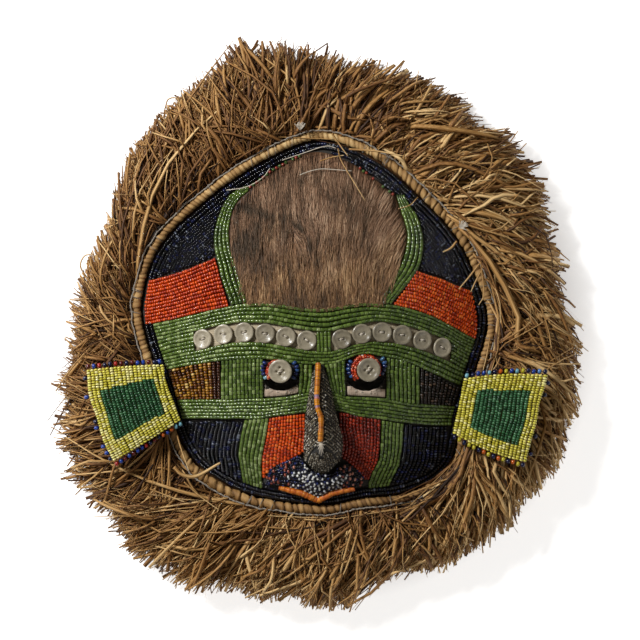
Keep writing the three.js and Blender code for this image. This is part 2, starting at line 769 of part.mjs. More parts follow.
function cheekField(name, bottom, left, right, bottomY, strings, colour) {
  addPiece(name, beadField({
    strings,
    underColumns: strings > WIDE_FIELD ? 3 : 2,
    steps: 3,
    layout: downward(cheekTop, bottom, left, right, -68, bottomY),
  }), colour, BEAD_FINISH);
}

const outward = (line, side) => (y) => line(y) + side * SEAM;
cheekField(
  'cheek_navy_left', bandY, level(CHEEK_ENDS[0]), outward(CHEEK_LEFT_OUTER, -1), -108, 10, NAVY,
);
cheekField('cheek_green_left', bandY, CHEEK_LEFT_OUTER, CHEEK_LEFT_INNER, -114, 5, GREEN);
cheekField(
  'cheek_orange_left', CHEEK_BOTTOM_LEFT, outward(CHEEK_LEFT_INNER, 1),
  (y) => Math.min(besideNose(y, -1), -10.8), -100, 9, ORANGE,
);
cheekField(
  'cheek_orange_right', CHEEK_BOTTOM_RIGHT, (y) => Math.max(besideNose(y, 1), 13.4),
  outward(CHEEK_RIGHT_INNER, -1.4), -103, 8, DARK_RED,
);
cheekField('cheek_green_right', bandY, CHEEK_RIGHT_INNER, CHEEK_RIGHT_OUTER, -112, 5, GREEN);
cheekField(
  'cheek_navy_right', bandY, outward(CHEEK_RIGHT_OUTER, 1), level(CHEEK_ENDS[1]), -106, 10, NAVY,
);

// The nose: a ridge that widens and rises to its tip, then drops to the mouth

const NOSE_SIDES = 7;

function noseSolid() {
  const section = new THREE.Shape();
  section.moveTo(-1, 0);
  section.lineTo(0, 0);
  section.lineTo(1, 0);
  for (let i = 1; i < NOSE_SIDES; i += 1) section.lineTo(1 - (2 * i) / NOSE_SIDES, 1);
  const bar = new THREE.ExtrudeGeometry(section, { depth: 1, steps: 10, bevelEnabled: false });
  return bend(bar, (across, top, along) => {
    const y = lerp(-30.6, -106.4, along);
    const x = NOSE_MIDDLE(y) + across * NOSE_HALF_WIDTH(y);
    const crown = NOSE_RELIEF(y) * (1 - (1 - NOSE_FLANK) * across ** 2);
    return overFace(x, y, top > 0.5 ? Math.max(crown, STRING_VALLEY) : STRING_BASE);
  });
}
addPiece('nose', noseSolid(), GREY_BEADS, BEAD_FINISH);

// A line of ochre beads lies along the top of the nose
const ridgeSection = new THREE.Shape();
ridgeSection.absellipse(0, 0, 1, 1, 0, 2 * Math.PI);
const ridge = new THREE.ExtrudeGeometry(
  ridgeSection, { depth: 1, steps: 7, bevelEnabled: false, curveSegments: 3 },
);
bend(ridge, (across, up, along) => {
  const y = lerp(-31, -81, along);
  const x = RIDGE_MIDDLE(y);
  const point = overFace(x, y, NOSE_RELIEF(y));
  return new THREE.Vector3(x + 2.3 * across, y, point.z + 1.9 + 1.3 * up);
});
addPiece('nose_ridge', ridge, OCHRE, BEAD_FINISH);

// The mouth: a raised lozenge of mixed beads over an orange lip

const overBand = (x, y) => (insideEdge(x, y) < EDGE_BAND + 4 ? STRING_CREST + 0.6 : STRING_BASE);
const mouthBottom = lowered(LIP_LINE, -LIP_RADIUS - SEAM);
const mouthRelief = (along, across) => {
  const side = Math.abs(2 * along - 1);
  return 1 + (MOUTH_HEIGHT - STRING_CREST) * (1 - side ** 1.6) * Math.sin(Math.PI * across) ** 0.7;
};
addPiece('mouth', beadField({
  strings: 4,
  steps: 11,
  layout: crosswise(lowered(MOUTH_TOP, SEAM), mouthBottom, level(-38.5), level(33)),
  relief: mouthRelief,
  base: overBand,
}), MOUTH_BEADS, BEAD_FINISH);

const lipSection = new THREE.Shape();
lipSection.absellipse(0, 0, LIP_RADIUS, LIP_RADIUS, 0, 2 * Math.PI);
const lip = new THREE.ExtrudeGeometry(
  lipSection, { depth: 1, steps: 8, bevelEnabled: false, curveSegments: 3 },
);
bend(lip, (across, up, along) => {
  const x = lerp(LIP_ENDS[0], LIP_ENDS[1], along);
  const middle = overFace(x, LIP_LINE(x), STRING_CREST + 0.8 + LIP_RADIUS);
  return new THREE.Vector3(x, middle.y + across, middle.z + up);
});
addPiece('lower_lip', lip, LIP_ORANGE, BEAD_FINISH);

// Buttons: dished discs of mother-of-pearl, drilled for their thread

function buttonSolid(radius, thickness, holes) {
  const profile = [
    [0, 0], [radius, thickness * 0.35], [radius - 0.9, thickness], [0, thickness * 0.6],
  ].map(([reach, height]) => new THREE.Vector2(reach, height));
  const disc = new THREE.LatheGeometry(profile, 9);
  bend(disc, (x, y, z) => new THREE.Vector3(x, -z, y));
  let solid = toManifold(disc);
  for (let i = 0; i < holes; i += 1) {
    const drill = new THREE.CylinderGeometry(0.75, 0.75, 3 * thickness, 4);
    const angle = (2 * Math.PI * i) / holes;
    const reach = radius * 0.24;
    bend(drill, (x, y, z) => new THREE.Vector3(
      x + reach * Math.cos(angle), z + reach * Math.sin(angle), y,
    ));
    solid = solid.subtract(toManifold(drill));
  }
  return fromManifold(solid);
}

// Stands a piece square on the cloth
function seat(mesh, x, y, height, spin) {
  const normal = faceNormal(x, y);
  const upright = new THREE.Vector3(0, 0, 1);
  mesh.position.set(x, y, faceHeight(x, y)).addScaledVector(normal, height);
  mesh.quaternion.setFromUnitVectors(upright, normal);
  mesh.rotateZ(spin);
}

for (const [side, [first, last]] of Object.entries(BROW_ROWS)) {
  for (let i = 0; i < BROW_BUTTONS_A_SIDE; i += 1) {
    const x = lerp(first, last, i / (BROW_BUTTONS_A_SIDE - 1));
    const disc = buttonSolid(BROW_BUTTON_RADIUS, BROW_BUTTON_THICKNESS, 2);
    const button = addPiece(`brow_button_${side}_${i + 1}`, disc, PEARL, PEARL_FINISH);
    seat(button, x, BUTTON_LINE(x), STRING_BASE, (scatter(x) - 0.5) * 1.2);
  }
}

// Eyes: a button on an arc of orange strings, over the upper edge of the slit

for (const eye of EYES) {
  const [from, to] = eye.arc.map(THREE.MathUtils.degToRad);
  const wall = new THREE.Shape();
  wall.moveTo(0, 0);
  wall.lineTo(EYE_RING_WIDTH, 0);
  wall.lineTo(0.75 * EYE_RING_WIDTH, 0.5);
  wall.lineTo(0.6 * EYE_RING_WIDTH, 1);
  wall.lineTo(0, 1);
  const ring = new THREE.ExtrudeGeometry(wall, { depth: 1, steps: 10, bevelEnabled: false });
  bend(ring, (out, up, along) => {
    const angle = lerp(from, to, along);
    const reach = eye.ringRadius - EYE_RING_WIDTH + out;
    return new THREE.Vector3(reach * Math.cos(angle), reach * Math.sin(angle), up * EYE_RING_HEIGHT);
  });
  const ringMesh = addPiece(`eye_ring_${eye.side}`, ring, ORANGE, BEAD_FINISH);
  seat(ringMesh, ...eye.ring, 1, 0);
  const disc = buttonSolid(EYE_BUTTON_RADIUS, EYE_BUTTON_THICKNESS, 4);
  const button = addPiece(`eye_button_${eye.side}`, disc, PEARL, PEARL_FINISH);
  seat(button, ...eye.button, 1.4 + EYE_RING_HEIGHT, 0.3);
}

// A short stack of blue beads stands at each corner of the eyes

const STACK_STEPS = 4; // its outline swells at every second step

for (const eye of EYES) {
  for (const x of eye.beads) {
    const section = new THREE.Shape();
    section.absellipse(0, 0, 1, 1, 0, 2 * Math.PI);
    const stack = new THREE.ExtrudeGeometry(
      section, { depth: 1, steps: STACK_STEPS, bevelEnabled: false, curveSegments: 3 },
    );
    bend(stack, (across, up, along) => {
      const swell = Math.round(along * STACK_STEPS) % 2 ? 1 : 0.7;
      const y = eye.button[1] + lerp(4.2, -4, along);
      const point = overFace(x, y, STRING_BASE + STACK_RADIUS);
      const reach = STACK_RADIUS * swell;
      return new THREE.Vector3(x + reach * across, y, point.z + reach * up);
    });
    const place = x < eye.button[0] ? 'left' : 'right';
    addPiece(`eye_${eye.side}_beads_${place}`, stack, BLUE, BEAD_FINISH);
  }
}

// Ears: flat stuffed pads of yellow strings with a green field let into the middle

const EAR_COLUMNS = [0, 0.2, 0.21, 0.5, 0.79, 0.8, 1];
const EAR_ROWS = [0, 0.24, 0.25, 0.5, 0.75, 0.76, 1];
const CENTRE_SECTION = [0.6, 2.6, 3.4]; // underside, dip and crest over the floor of the hollow
const EAR_RIM = 5; // height of a pad along its edge
const EAR_CROWN = EAR_THICKNESS - 4; // and how much more in its middle
const earCrown = (across, down) => (
  EAR_RIM + EAR_CROWN * 4 * Math.sqrt(across * (1 - across) * down * (1 - down))
);

for (const ear of EARS) {
  const columns = EAR_COLUMNS.length - 1;
  const rows = EAR_ROWS.length - 1;
  const pad = new THREE.BoxGeometry(1, 1, 1, columns, rows, 1);
  bend(pad, (alongTop, alongSide, up) => {
    const column = Math.round((alongTop + 0.5) * columns);
    const row = Math.round((0.5 - alongSide) * rows);
    const sunk = column > 1 && column < columns - 1 && row > 1 && row < rows - 1;
    const [x, y] = earPlace(ear, EAR_COLUMNS[column], EAR_ROWS[row]);
    const top = earCrown(EAR_COLUMNS[column], EAR_ROWS[row]) - (sunk ? EAR_RECESS : 0);
    return new THREE.Vector3(x, y, earHeight(x) + (up > 0 ? top : 0));
  });
  addPiece(`ear_${ear.side}`, pad, YELLOW, BEAD_FINISH);

  const centre = mat(9, 2, 2, (columnShare, rowShare, side) => {
    const across = lerp(0.22, 0.78, columnShare);
    const down = lerp(0.26, 0.74, rowShare);
    const [x, y] = earPlace(ear, across, down);
    const height = earCrown(across, down) - EAR_RECESS + CENTRE_SECTION[side];
    return new THREE.Vector3(x, y, earHeight(x) + height);
  });
  addPiece(`ear_centre_${ear.side}`, centre, EAR_GREEN, BEAD_FINISH);
}

export default mask;
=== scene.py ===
# %% [markdown]
# # A beaded raffia mask
# The mask lies on its back, face up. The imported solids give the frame: +X is to the right of a
# person looking at the face, +Y goes up the forehead and +Z is away from the table. This script
# dresses each solid in what the real mask is made of: glass beads on strings, fur, buttons of
# mother-of-pearl, a bound coil and thousands of blades of raffia.

# %% Load the frame
import json

import bpy
import numpy as np
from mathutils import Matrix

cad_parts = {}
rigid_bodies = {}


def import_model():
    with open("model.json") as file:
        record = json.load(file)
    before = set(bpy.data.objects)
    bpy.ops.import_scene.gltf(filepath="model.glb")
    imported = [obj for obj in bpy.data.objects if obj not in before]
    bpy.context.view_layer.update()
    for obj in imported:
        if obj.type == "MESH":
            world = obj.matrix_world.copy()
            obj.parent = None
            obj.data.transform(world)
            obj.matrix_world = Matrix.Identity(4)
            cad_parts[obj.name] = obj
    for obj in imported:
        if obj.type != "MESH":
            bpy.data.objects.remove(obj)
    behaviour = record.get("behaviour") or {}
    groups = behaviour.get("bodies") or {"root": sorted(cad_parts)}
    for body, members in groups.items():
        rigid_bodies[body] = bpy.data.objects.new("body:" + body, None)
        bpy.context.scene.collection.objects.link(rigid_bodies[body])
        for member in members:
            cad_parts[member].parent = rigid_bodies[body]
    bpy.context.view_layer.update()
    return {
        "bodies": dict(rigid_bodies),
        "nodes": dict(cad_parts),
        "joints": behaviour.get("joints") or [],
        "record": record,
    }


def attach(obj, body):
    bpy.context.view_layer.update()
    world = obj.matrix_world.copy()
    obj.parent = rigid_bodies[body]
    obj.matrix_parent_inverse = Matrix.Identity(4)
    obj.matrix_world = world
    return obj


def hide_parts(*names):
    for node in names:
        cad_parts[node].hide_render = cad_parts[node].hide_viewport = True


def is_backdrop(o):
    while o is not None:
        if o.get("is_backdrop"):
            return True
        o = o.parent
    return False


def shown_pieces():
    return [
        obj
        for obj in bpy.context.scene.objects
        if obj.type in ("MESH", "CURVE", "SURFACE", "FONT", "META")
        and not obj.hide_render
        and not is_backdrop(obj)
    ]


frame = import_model()

# %% [markdown]
# ## Tools
# Every new piece is worked out in millimetres as whole numpy arrays and then put into a mesh in
# metres. A piece may mix quads, triangles and end caps, and it carries numbers on its points, such
# as a bead's tint, which its material reads. That is lighter than one material for each bead.

# %% Numbers into meshes
MM = 0.001
TAU = 2 * np.pi


def mesh_piece(name, points, faces, material, slot, replaces=(), numbers=None):
    """One smooth mesh from a grid of points (..., 3) in millimetres and a list of face arrays, each
    (m, corners). numbers maps a name to values that spread over the grid. The piece rides on the
    mask."""
    grid = points.shape[:-1]
    corners = np.concatenate([f.ravel() for f in faces]).astype(np.int32)
    counts = np.concatenate([np.full(len(f), f.shape[1]) for f in faces])
    starts = np.concatenate([[0], np.cumsum(counts)[:-1]]).astype(np.int32)
    mesh = bpy.data.meshes.new(name)
    mesh.vertices.add(int(np.prod(grid)))
    mesh.vertices.foreach_set("co", (points * MM).ravel())
    mesh.loops.add(len(corners))
    mesh.loops.foreach_set("vertex_index", corners)
    mesh.polygons.add(len(counts))
    mesh.polygons.foreach_set("loop_start", starts)
    mesh.update(calc_edges=True)
    mesh.polygons.foreach_set("use_smooth", np.ones(len(counts), bool))
    for label, values in (numbers or {}).items():
        layer = mesh.attributes.new(label, "FLOAT", "POINT")
        values = np.broadcast_to(np.asarray(values, np.float32), grid)
        layer.data.foreach_set("value", values.ravel())
    mesh.materials.append(material)
    piece = bpy.data.objects.new(name, mesh)
    bpy.context.scene.collection.objects.link(piece)
    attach(piece, "root")
    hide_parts(*replaces)
    triangles = int((counts - 2).sum())
    print(f"{name}: {len(mesh.vertices)} points, {triangles} triangles")
    return piece


print("one millimetre is", MM, "in the scene")

# %% Faces of grids, tubes and slabs


def grid_faces(rows, columns, close_rows=False, close_columns=False):
    """Quads of a grid of points, row by row, joined round where asked."""
    r = np.arange(rows if close_rows else rows - 1)[:, None]
    c = np.arange(columns if close_columns else columns - 1)[None, :]
    r2, c2 = (r + 1) % rows, (c + 1) % columns
    corners = [r * columns + c, r * columns + c2, r2 * columns + c2, r2 * columns + c]
    return np.stack(np.broadcast_arrays(*corners), -1).reshape(-1, 4)


def tube_faces(count, rings, sides):
    """Walls and end caps of closed tubes whose points come tube by tube and ring by ring."""
    base = np.arange(count)[:, None, None] * rings * sides
    walls = base + grid_faces(rings, sides, close_columns=True)
    side = np.arange(sides)
    caps = base + np.stack([side[::-1], (rings - 1) * sides + side])
    return [walls.reshape(-1, 4), caps.reshape(-1, sides)]


def slab(skin, foot, rows_go_down):
    """Points and faces of a closed slab between two grids of points. Each row runs over the skin
    and back under the foot, and a cap closes the first and the last row. The winding depends on
    whether the rows follow each other down the face or across it."""
    points = np.concatenate([skin, foot[:, ::-1]], 1)
    rows, around = points.shape[:2]
    first = np.arange(around)[None, :]
    faces = [grid_faces(rows, around, close_columns=True), first[:, ::-1],
             first + (rows - 1) * around]
    return points, [f[:, ::-1] for f in faces] if rows_go_down else faces


print("a grid of 3 by 3 points has", len(grid_faces(3, 3)), "faces")

# %% Directions, mixes and slow changes


def unit(v):
    """Each vector divided by its length."""
    return v / np.maximum(np.linalg.norm(v, axis=-1, keepdims=True), 1e-9)


def mix(a, b, t):
    """The point a share t of the way from a to b."""
    return a + (b - a) * t


def slow_field(x, y, seed, size):
    """A smooth random value about 0: the mean of six sine waves of about one size."""
    r = np.random.default_rng(seed)
    total = 0
    for _ in range(6):
        direction, phase = r.uniform(0, TAU, 2)
        wave = TAU / (size * r.uniform(0.6, 1.6))
        total = total + np.sin((x * np.cos(direction) + y * np.sin(direction)) * wave + phase)
    return total / 6


print("the middle between 2 and 5 is", mix(2, 5, 0.5))

# %% Colours and nodes


def linear(hex_colour):
    """An sRGB hex colour as linear red, green, blue and 1."""
    c = np.array([int(hex_colour[i : i + 2], 16) for i in (0, 2, 4)]) / 255
    c = np.where(c <= 0.04045, c / 12.92, ((c + 0.055) / 1.055) ** 2.4)
    return (*c.tolist(), 1.0)


def add_node(tree, kind, settings=None, inputs=None):
    """Adds a node with its settings and its inputs. An input is a value, another node's output, or
    a node, which stands for its first output. The setting stops fills a colour ramp with pairs of
    place and hex colour."""
    node = tree.nodes.new("ShaderNode" + kind)
    for field, value in (settings or {}).items():
        if field == "stops":
            ramp = node.color_ramp
            while len(ramp.elements) < len(value):
                ramp.elements.new(0.5)
            for element, (place, colour) in zip(ramp.elements, value):
                element.position, element.color = place, linear(colour)
        elif field == "steps":
            node.color_ramp.interpolation = value
        else:
            setattr(node, field, value)
    for socket, value in (inputs or {}).items():
        if isinstance(value, bpy.types.Node):
            value = value.outputs[0]
        if isinstance(value, bpy.types.NodeSocket):
            tree.links.new(value, node.inputs[socket])
        else:
            node.inputs[socket].default_value = value
    return node


def empty_material(name):
    """A material with no nodes yet, and its tree."""
    material = bpy.data.materials.new(name)
    material.use_nodes = True
    material.node_tree.nodes.clear()
    return material, material.node_tree


print("node tools ready")

# %% [markdown]
# ## The lines of the face
# The seams between the bead fields are smooth lines through a few measured points. The fur, the
# beads and the buttons are all laid out from them, and so were the solids, so the two agree.

# %% Lines through measured points
EDGE_POINTS = np.array([
    [0, 126.7], [-40.6, 111.3], [-83.3, 81.2], [-111.7, 52.5], [-123.9, 18.9], [-123.6, -0.7],
    [-109.9, -44.1], [-95.2, -86.8], [-80.5, -104.7], [-47.6, -121.1], [2.1, -127.4], [28, -122.9],
    [63.7, -118], [89.6, -101.5], [98.7, -65.1], [107.8, -35], [116.6, -0.7], [112.7, 19.6],
    [95.9, 57.4], [71.7, 85.1], [40.3, 112.3],
])


def smooth_line(pairs):
    """A cubic between each two pairs of place and value. The slope at a pair comes from the pairs
    beside it, and the line is level beyond its ends."""
    place, value = np.array(pairs, float).T
    before = np.maximum(np.arange(len(place)) - 1, 0)
    after = np.minimum(np.arange(len(place)) + 1, len(place) - 1)
    slope = (value[after] - value[before]) / (place[after] - place[before])

    def line(t):
        t = np.clip(t, place[0], place[-1])
        i = np.clip(np.searchsorted(place, t, side="right") - 1, 0, len(place) - 2)
        width = place[i + 1] - place[i]
        s = (t - place[i]) / width
        rise = value[i + 1] - value[i]
        pull = (1 - s) * (slope[i] * width - rise) + s * (rise - slope[i + 1] * width)
        return value[i] + rise * s + s * (1 - s) * pull

    return line


print("a line through 0, 1, 4 at 0, 1, 2 has", smooth_line([[0, 0], [1, 1], [2, 4]])(1.5), "at 1.5")


# %% Lines across the face: y for each x
FUR_TOP = smooth_line([[-50, 94.5], [-28, 110.6], [-2.8, 120.1], [24.5, 110.6], [53, 89]])
TEMPLE_TOP_LEFT = smooth_line([[-118, 29.6], [-97, 35.4], [-72, 45.3]])
TEMPLE_TOP_RIGHT = smooth_line([[68, 35.7], [88, 28.8], [110, 20]])
BROW_TOP = smooth_line([
    [-121, -2.3], [-83.3, 6.3], [-61.6, 11.2], [-40.6, 13.7], [-1.4, 9.8], [31.5, 13.7],
    [63, 9.5], [84, 1.4], [110, -12.8],
])
BUTTON_LINE = smooth_line([
    [-117, -20.4], [-81, -11.8], [-60, -7.4], [-37.5, -7.9], [-9.2, -12.7], [3, -13.8],
    [14.9, -11.8], [36, -7], [58.9, -9.5], [84.4, -17.8], [106, -29],
])
BROW_BOTTOM = smooth_line([
    [-108, -33.4], [-68.9, -27.3], [-40.3, -25.9], [-14, -29.4], [9.1, -29.1], [28, -22.8],
    [46.2, -24.5], [63.7, -29.4], [99, -45.4],
])
UNDER_EYE_TOP = smooth_line([
    [-99.4, -54.3], [-40.3, -53.1], [-24.5, -52], [-7.4, -48.7], [8.8, -48.7], [17.5, -51.5],
    [45.5, -53.4], [70, -57.2], [95.2, -58.7],
])
UNDER_EYE_BOTTOM = smooth_line([
    [-95.2, -67.8], [-51.8, -67.8], [-36.4, -66.7], [-9.5, -63], [11.6, -62], [28, -65.5],
    [58.8, -70.4], [94.5, -73.2],
])
CHEEK_BOTTOM_LEFT = smooth_line([
    [-39.6, -109.4], [-33, -101.8], [-24, -97.4], [-16, -93.4], [-11, -90.4],
])
CHEEK_BOTTOM_RIGHT = smooth_line([[13.4, -94], [24.6, -101.9], [34, -110.2]])
MOUTH_TOP = smooth_line([
    [-39.6, -110.8], [-33, -103.2], [-24, -98.8], [-14, -95.4], [-9, -104], [0.6, -110],
    [9, -108.2], [14.5, -102], [18, -100], [24.6, -103.8], [34, -111.8],
])
print("above the middle of the mouth y is", MOUTH_TOP(0.0))

# %% Lines down the face: x for each y
FUR_BORDER_LEFT = smooth_line([
    [12.6, -62.3], [34.4, -69.6], [56, -74.2], [77.3, -69.6], [88.7, -63.1], [95.6, -51.8],
])
FUR_LEFT = smooth_line([
    [12.6, -50.5], [34.4, -56.7], [56, -63.1], [77.3, -61.7], [87.5, -55.3], [92.4, -49.7],
])
FUR_RIGHT = smooth_line([[13, 40.3], [36.5, 54.6], [50.1, 59.9], [63, 60.9], [86.8, 53.6]])
FUR_BORDER_RIGHT = smooth_line([
    [13, 50.1], [36.5, 68.3], [50.1, 72.1], [63, 71.3], [73.7, 68.1], [87.5, 59.5],
])
CHEEK_LEFT_OUTER = smooth_line([[-114, -54], [-99.4, -56], [-91.7, -57.4], [-67.9, -52.3]])
CHEEK_LEFT_INNER = smooth_line([[-115.5, -40.3], [-98, -40.8], [-81.9, -38.1], [-67.6, -35.7]])
CHEEK_RIGHT_INNER = smooth_line([[-113, 34], [-105.4, 36.8], [-95.2, 41.3], [-69.5, 42.7]])
CHEEK_RIGHT_OUTER = smooth_line([[-118, 46.9], [-108.2, 51.5], [-98, 56.2], [-71, 58.8]])
NOSE_MIDDLE = smooth_line([[-107, 0.8], [-82.6, 2.3], [-64.6, 0.7], [-40.6, 0], [-28.7, -0.7]])
NOSE_HALF_WIDTH = smooth_line([
    [-107, 3.4], [-104, 6.6], [-98, 10.6], [-91, 12.3], [-82.6, 12.4], [-64.6, 9.8], [-52, 7.6],
    [-40.6, 5.1], [-28.7, 3.2],
])
NOSE_RELIEF = smooth_line([
    [-107, 3.5], [-102, 9], [-95, 17], [-84.7, 22], [-64.6, 16], [-40.6, 8], [-28.7, 4.5],
])
RIDGE_MIDDLE = smooth_line([[-82, 0.3], [-66, 0.6], [-58, -2], [-30, -1.2]])
RUFF_REACH = smooth_line([
    [0, 182], [20, 178], [35, 190], [60, 187], [78, 189], [97, 203], [108, 203], [122, 188],
    [140, 175], [158, 172], [172, 175], [190, 188], [210, 208], [240, 207], [262, 202], [283, 197],
    [290, 192], [308, 195], [322, 201], [340, 189], [360, 182],
])
print("brow height in the middle", round(float(BROW_TOP(0)), 1), "mm")

# %% [markdown]
# ## The dome
# The cloth is a low dome. Its height falls from the middle with a power of the distance, measured
# against a smoothed outline, so a dent in the rim makes no ridge in the cloth. Anything that lies
# on the face asks for its height and its direction here.

# %% Edge of the face
RIM_HEIGHT, DOME_RISE, DOME_POWER = 30, 36, 2.4
EDGE_BAND = 5.6  # two dark strings along the rim
CLOTH = 4  # thickness
WAVES = 5  # the dome's outline keeps this many of the rim's waves, the mean among them


def closed_curve(corners, samples=48):
    """A closed curve through the corners: on each span a cubic whose end slopes weigh the
    neighbouring spans by the square roots of their lengths."""
    p0, p1 = np.roll(corners, 1, 0), corners
    p2, p3 = np.roll(corners, -1, 0), np.roll(corners, -2, 0)
    d0, d1, d2 = (np.linalg.norm(b - a, axis=1, keepdims=True) ** 0.5
                  for a, b in ((p0, p1), (p1, p2), (p2, p3)))
    m1 = ((p1 - p0) / d0 - (p2 - p0) / (d0 + d1) + (p2 - p1) / d1) * d1
    m2 = ((p2 - p1) / d1 - (p3 - p1) / (d1 + d2) + (p3 - p2) / d2) * d1
    s = np.linspace(0, 1, samples, endpoint=False)[None, :, None]
    p1, p2, m1, m2 = (a[:, None] for a in (p1, p2, m1, m2))
    curve = p1 + m1 * s + (3 * (p2 - p1) - 2 * m1 - m2) * s**2 + (2 * (p1 - p2) + m1 + m2) * s**3
    return curve.reshape(-1, corners.shape[1])


outline = closed_curve(EDGE_POINTS)
outline_angle = np.arctan2(outline[:, 1], outline[:, 0]) % TAU
outline_order = np.argsort(outline_angle)
outline_angle = outline_angle[outline_order]
outline_reach = np.linalg.norm(outline, axis=1)[outline_order]


def edge_radius(angle):
    """Distance from the middle to the edge of the face in one direction."""
    return np.interp(np.asarray(angle) % TAU, outline_angle, outline_reach, period=TAU)


print("the face reaches", edge_radius(0.0), "mm to the right")


# %% The dome
wave_angle = np.arange(360) * TAU / 360
wave_parts = [
    np.mean(edge_radius(wave_angle) * np.exp(-1j * k * wave_angle)) for k in range(WAVES)]


def dome_radius(angle):
    """The edge's radius with only its first waves, which is a rounder outline."""
    total = wave_parts[0].real + 0 * np.asarray(angle)
    for k in range(1, WAVES):
        total = total + 2 * (wave_parts[k] * np.exp(1j * k * np.asarray(angle))).real
    return total


def face_height(x, y):
    """Rim height plus the rise, less a power of the share of the way to the edge."""
    share = np.hypot(x, y) / dome_radius(np.arctan2(y, x))
    return RIM_HEIGHT + DOME_RISE * (1 - share**DOME_POWER)


def face_normal(x, y):
    """The direction that the cloth faces, from the slopes over a millimetre."""
    slope_x = face_height(x + 0.5, y) - face_height(x - 0.5, y)
    slope_y = face_height(x, y + 0.5) - face_height(x, y - 0.5)
    return unit(np.stack([-slope_x, -slope_y, np.ones_like(slope_x)], -1))


def over_face(x, y, height):
    """A point above x and y whose distance from the cloth, square to it, is height."""
    x, y = np.broadcast_arrays(np.asarray(x, float), np.asarray(y, float))
    return np.stack([x, y, face_height(x, y) + height / face_normal(x, y)[..., 2]], -1)


def inside_edge(x, y):
    """How far a point lies inside the edge of the face."""
    return edge_radius(np.arctan2(y, x)) - np.hypot(x, y)


def rim_path(angle, out):
    """x, y and the cloth's height, at a distance outside the edge, for each angle."""
    reach = edge_radius(angle)
    height = face_height(reach * np.cos(angle), reach * np.sin(angle))
    return (reach + out) * np.cos(angle), (reach + out) * np.sin(angle), height


print("the cloth's middle is", face_height(0.0, 0.0), "mm high")


# %% The inner side of the dark band
# A small gap is left before the next strings
coarse = outline[::4]
band = coarse * (1 - (EDGE_BAND + 0.7) / np.linalg.norm(coarse, axis=1, keepdims=True))


def band_x(side):
    """x of the dark band's inner side at a height y, on one side of the face."""
    part = band[band[:, 0] * side > 0]
    part = part[np.argsort(part[:, 1])]
    return lambda y: np.interp(y, part[:, 1], part[:, 0])


chin = band[band[:, 1] < -60]
chin = chin[np.argsort(chin[:, 0])]


def band_y(x):
    """y of the band's inner side at the chin, for each x."""
    return np.interp(x, chin[:, 0], chin[:, 1])


print("face", np.round(np.ptp(outline, axis=0)), "mm, dome", RIM_HEIGHT + DOME_RISE, "mm high")

# %% [markdown]
# ## Glass beads
# The mask is embroidered with seed beads: short barrels of opaque glass, tumbled so that their
# edges are round. A string of them is laid down and sewn to the cloth, so the beads lie end to end
# with their holes along the string. Each bead here is a ring of eight sides and four rounds. It
# carries a tint, for the mixed glass of one batch, and a mark at its ends, which is painted dark:
# partly for dust and thread, partly as painted shade where the hole and the next bead meet.

# %% One bead, many times
BEAD_LENGTH = 1.9
BEAD_SIDES = 8
# Places along the bead and widths there: a long bead, a short round one and one pressed square
LONG_BEAD = np.array([[-1, 0.9], [-0.76, 1], [0.76, 1], [1, 0.9]])
ROUND_BEAD = np.array([[-1, 0.5], [-0.5, 0.98], [0.5, 0.98], [1, 0.5]])
SNUG_BEAD = np.array([[-1, 0.7], [-0.62, 1], [0.62, 1], [1, 0.7]])


def bead_points(centre, along, up, radius, half, shape):
    """Rings of points round each bead: centre + along * half * t + radius * r * (side * cos + up *
    sin), where t and r are a ring's place and width."""
    side = unit(np.cross(up, along))
    up = np.cross(along, side)
    turn = np.arange(BEAD_SIDES) * TAU / BEAD_SIDES
    ring = side[:, None] * np.cos(turn)[:, None] + up[:, None] * np.sin(turn)[:, None]
    t, r = shape.T
    return (
        centre[:, None, None]
        + (along * half[:, None])[:, None, None] * t[:, None, None]
        + ring[:, None] * (r[:, None] * radius[:, None, None])[..., None]
    )


def along_strings(paths, pitch, length):
    """Cuts each string (samples, 3) into equal steps of about one bead, and gives the middle, the
    direction and the room between neighbouring strings of each bead, and the string's number."""
    rows = []
    for number, (path, gap) in enumerate(zip(paths, pitch)):
        run = np.concatenate([[0], np.cumsum(np.linalg.norm(np.diff(path, axis=0), axis=1))])
        count = max(int(round(run[-1] / length)), 1)
        at = (np.arange(count) + 0.5) * run[-1] / count
        pick = lambda where: np.stack([np.interp(where, run, path[:, k]) for k in range(3)], -1)
        here = pick(at)
        ahead = pick(at + 0.4 * length) - pick(at - 0.4 * length)
        room = np.interp(at, run, gap)
        rows.append(np.column_stack([here, ahead, room, np.full(count, number), at / run[-1]]))
    rows = np.concatenate(rows)
    return rows[:, :3], unit(rows[:, 3:6]), rows[:, 6], rows[:, 7].astype(int), rows[:, 8]


def bead_piece(name, centre, along, up, room, material, slot, rng, replaces=(), tint=None,
               length=BEAD_LENGTH, shape=LONG_BEAD):
    """Beads of about half the room between strings in radius, each a little unlike the next in
    size, place and tilt."""
    n = len(centre)
    radius = 0.5 * room * rng.uniform(0.92, 1.03, n)
    half = 0.5 * length * rng.uniform(0.92, 1.03, n)
    along = unit(along + rng.normal(0, 0.05, (n, 3)))
    centre = centre + up * rng.normal(0, 0.1, (n, 1)) + rng.normal(0, 0.07, (n, 3))
    points = bead_points(centre, along, up, radius, half, shape)
    tint = rng.random(n) if tint is None else tint
    numbers = {"tint": np.reshape(tint, (n, 1, 1)), "end": (np.abs(shape[:, 0]) > 0.9)[:, None]}
    return mesh_piece(name, points, tube_faces(n, len(shape), BEAD_SIDES), material, slot, replaces,
                      numbers)


print("one bead has", (len(LONG_BEAD) - 1) * BEAD_SIDES + 2, "faces")

# %% Bead glass


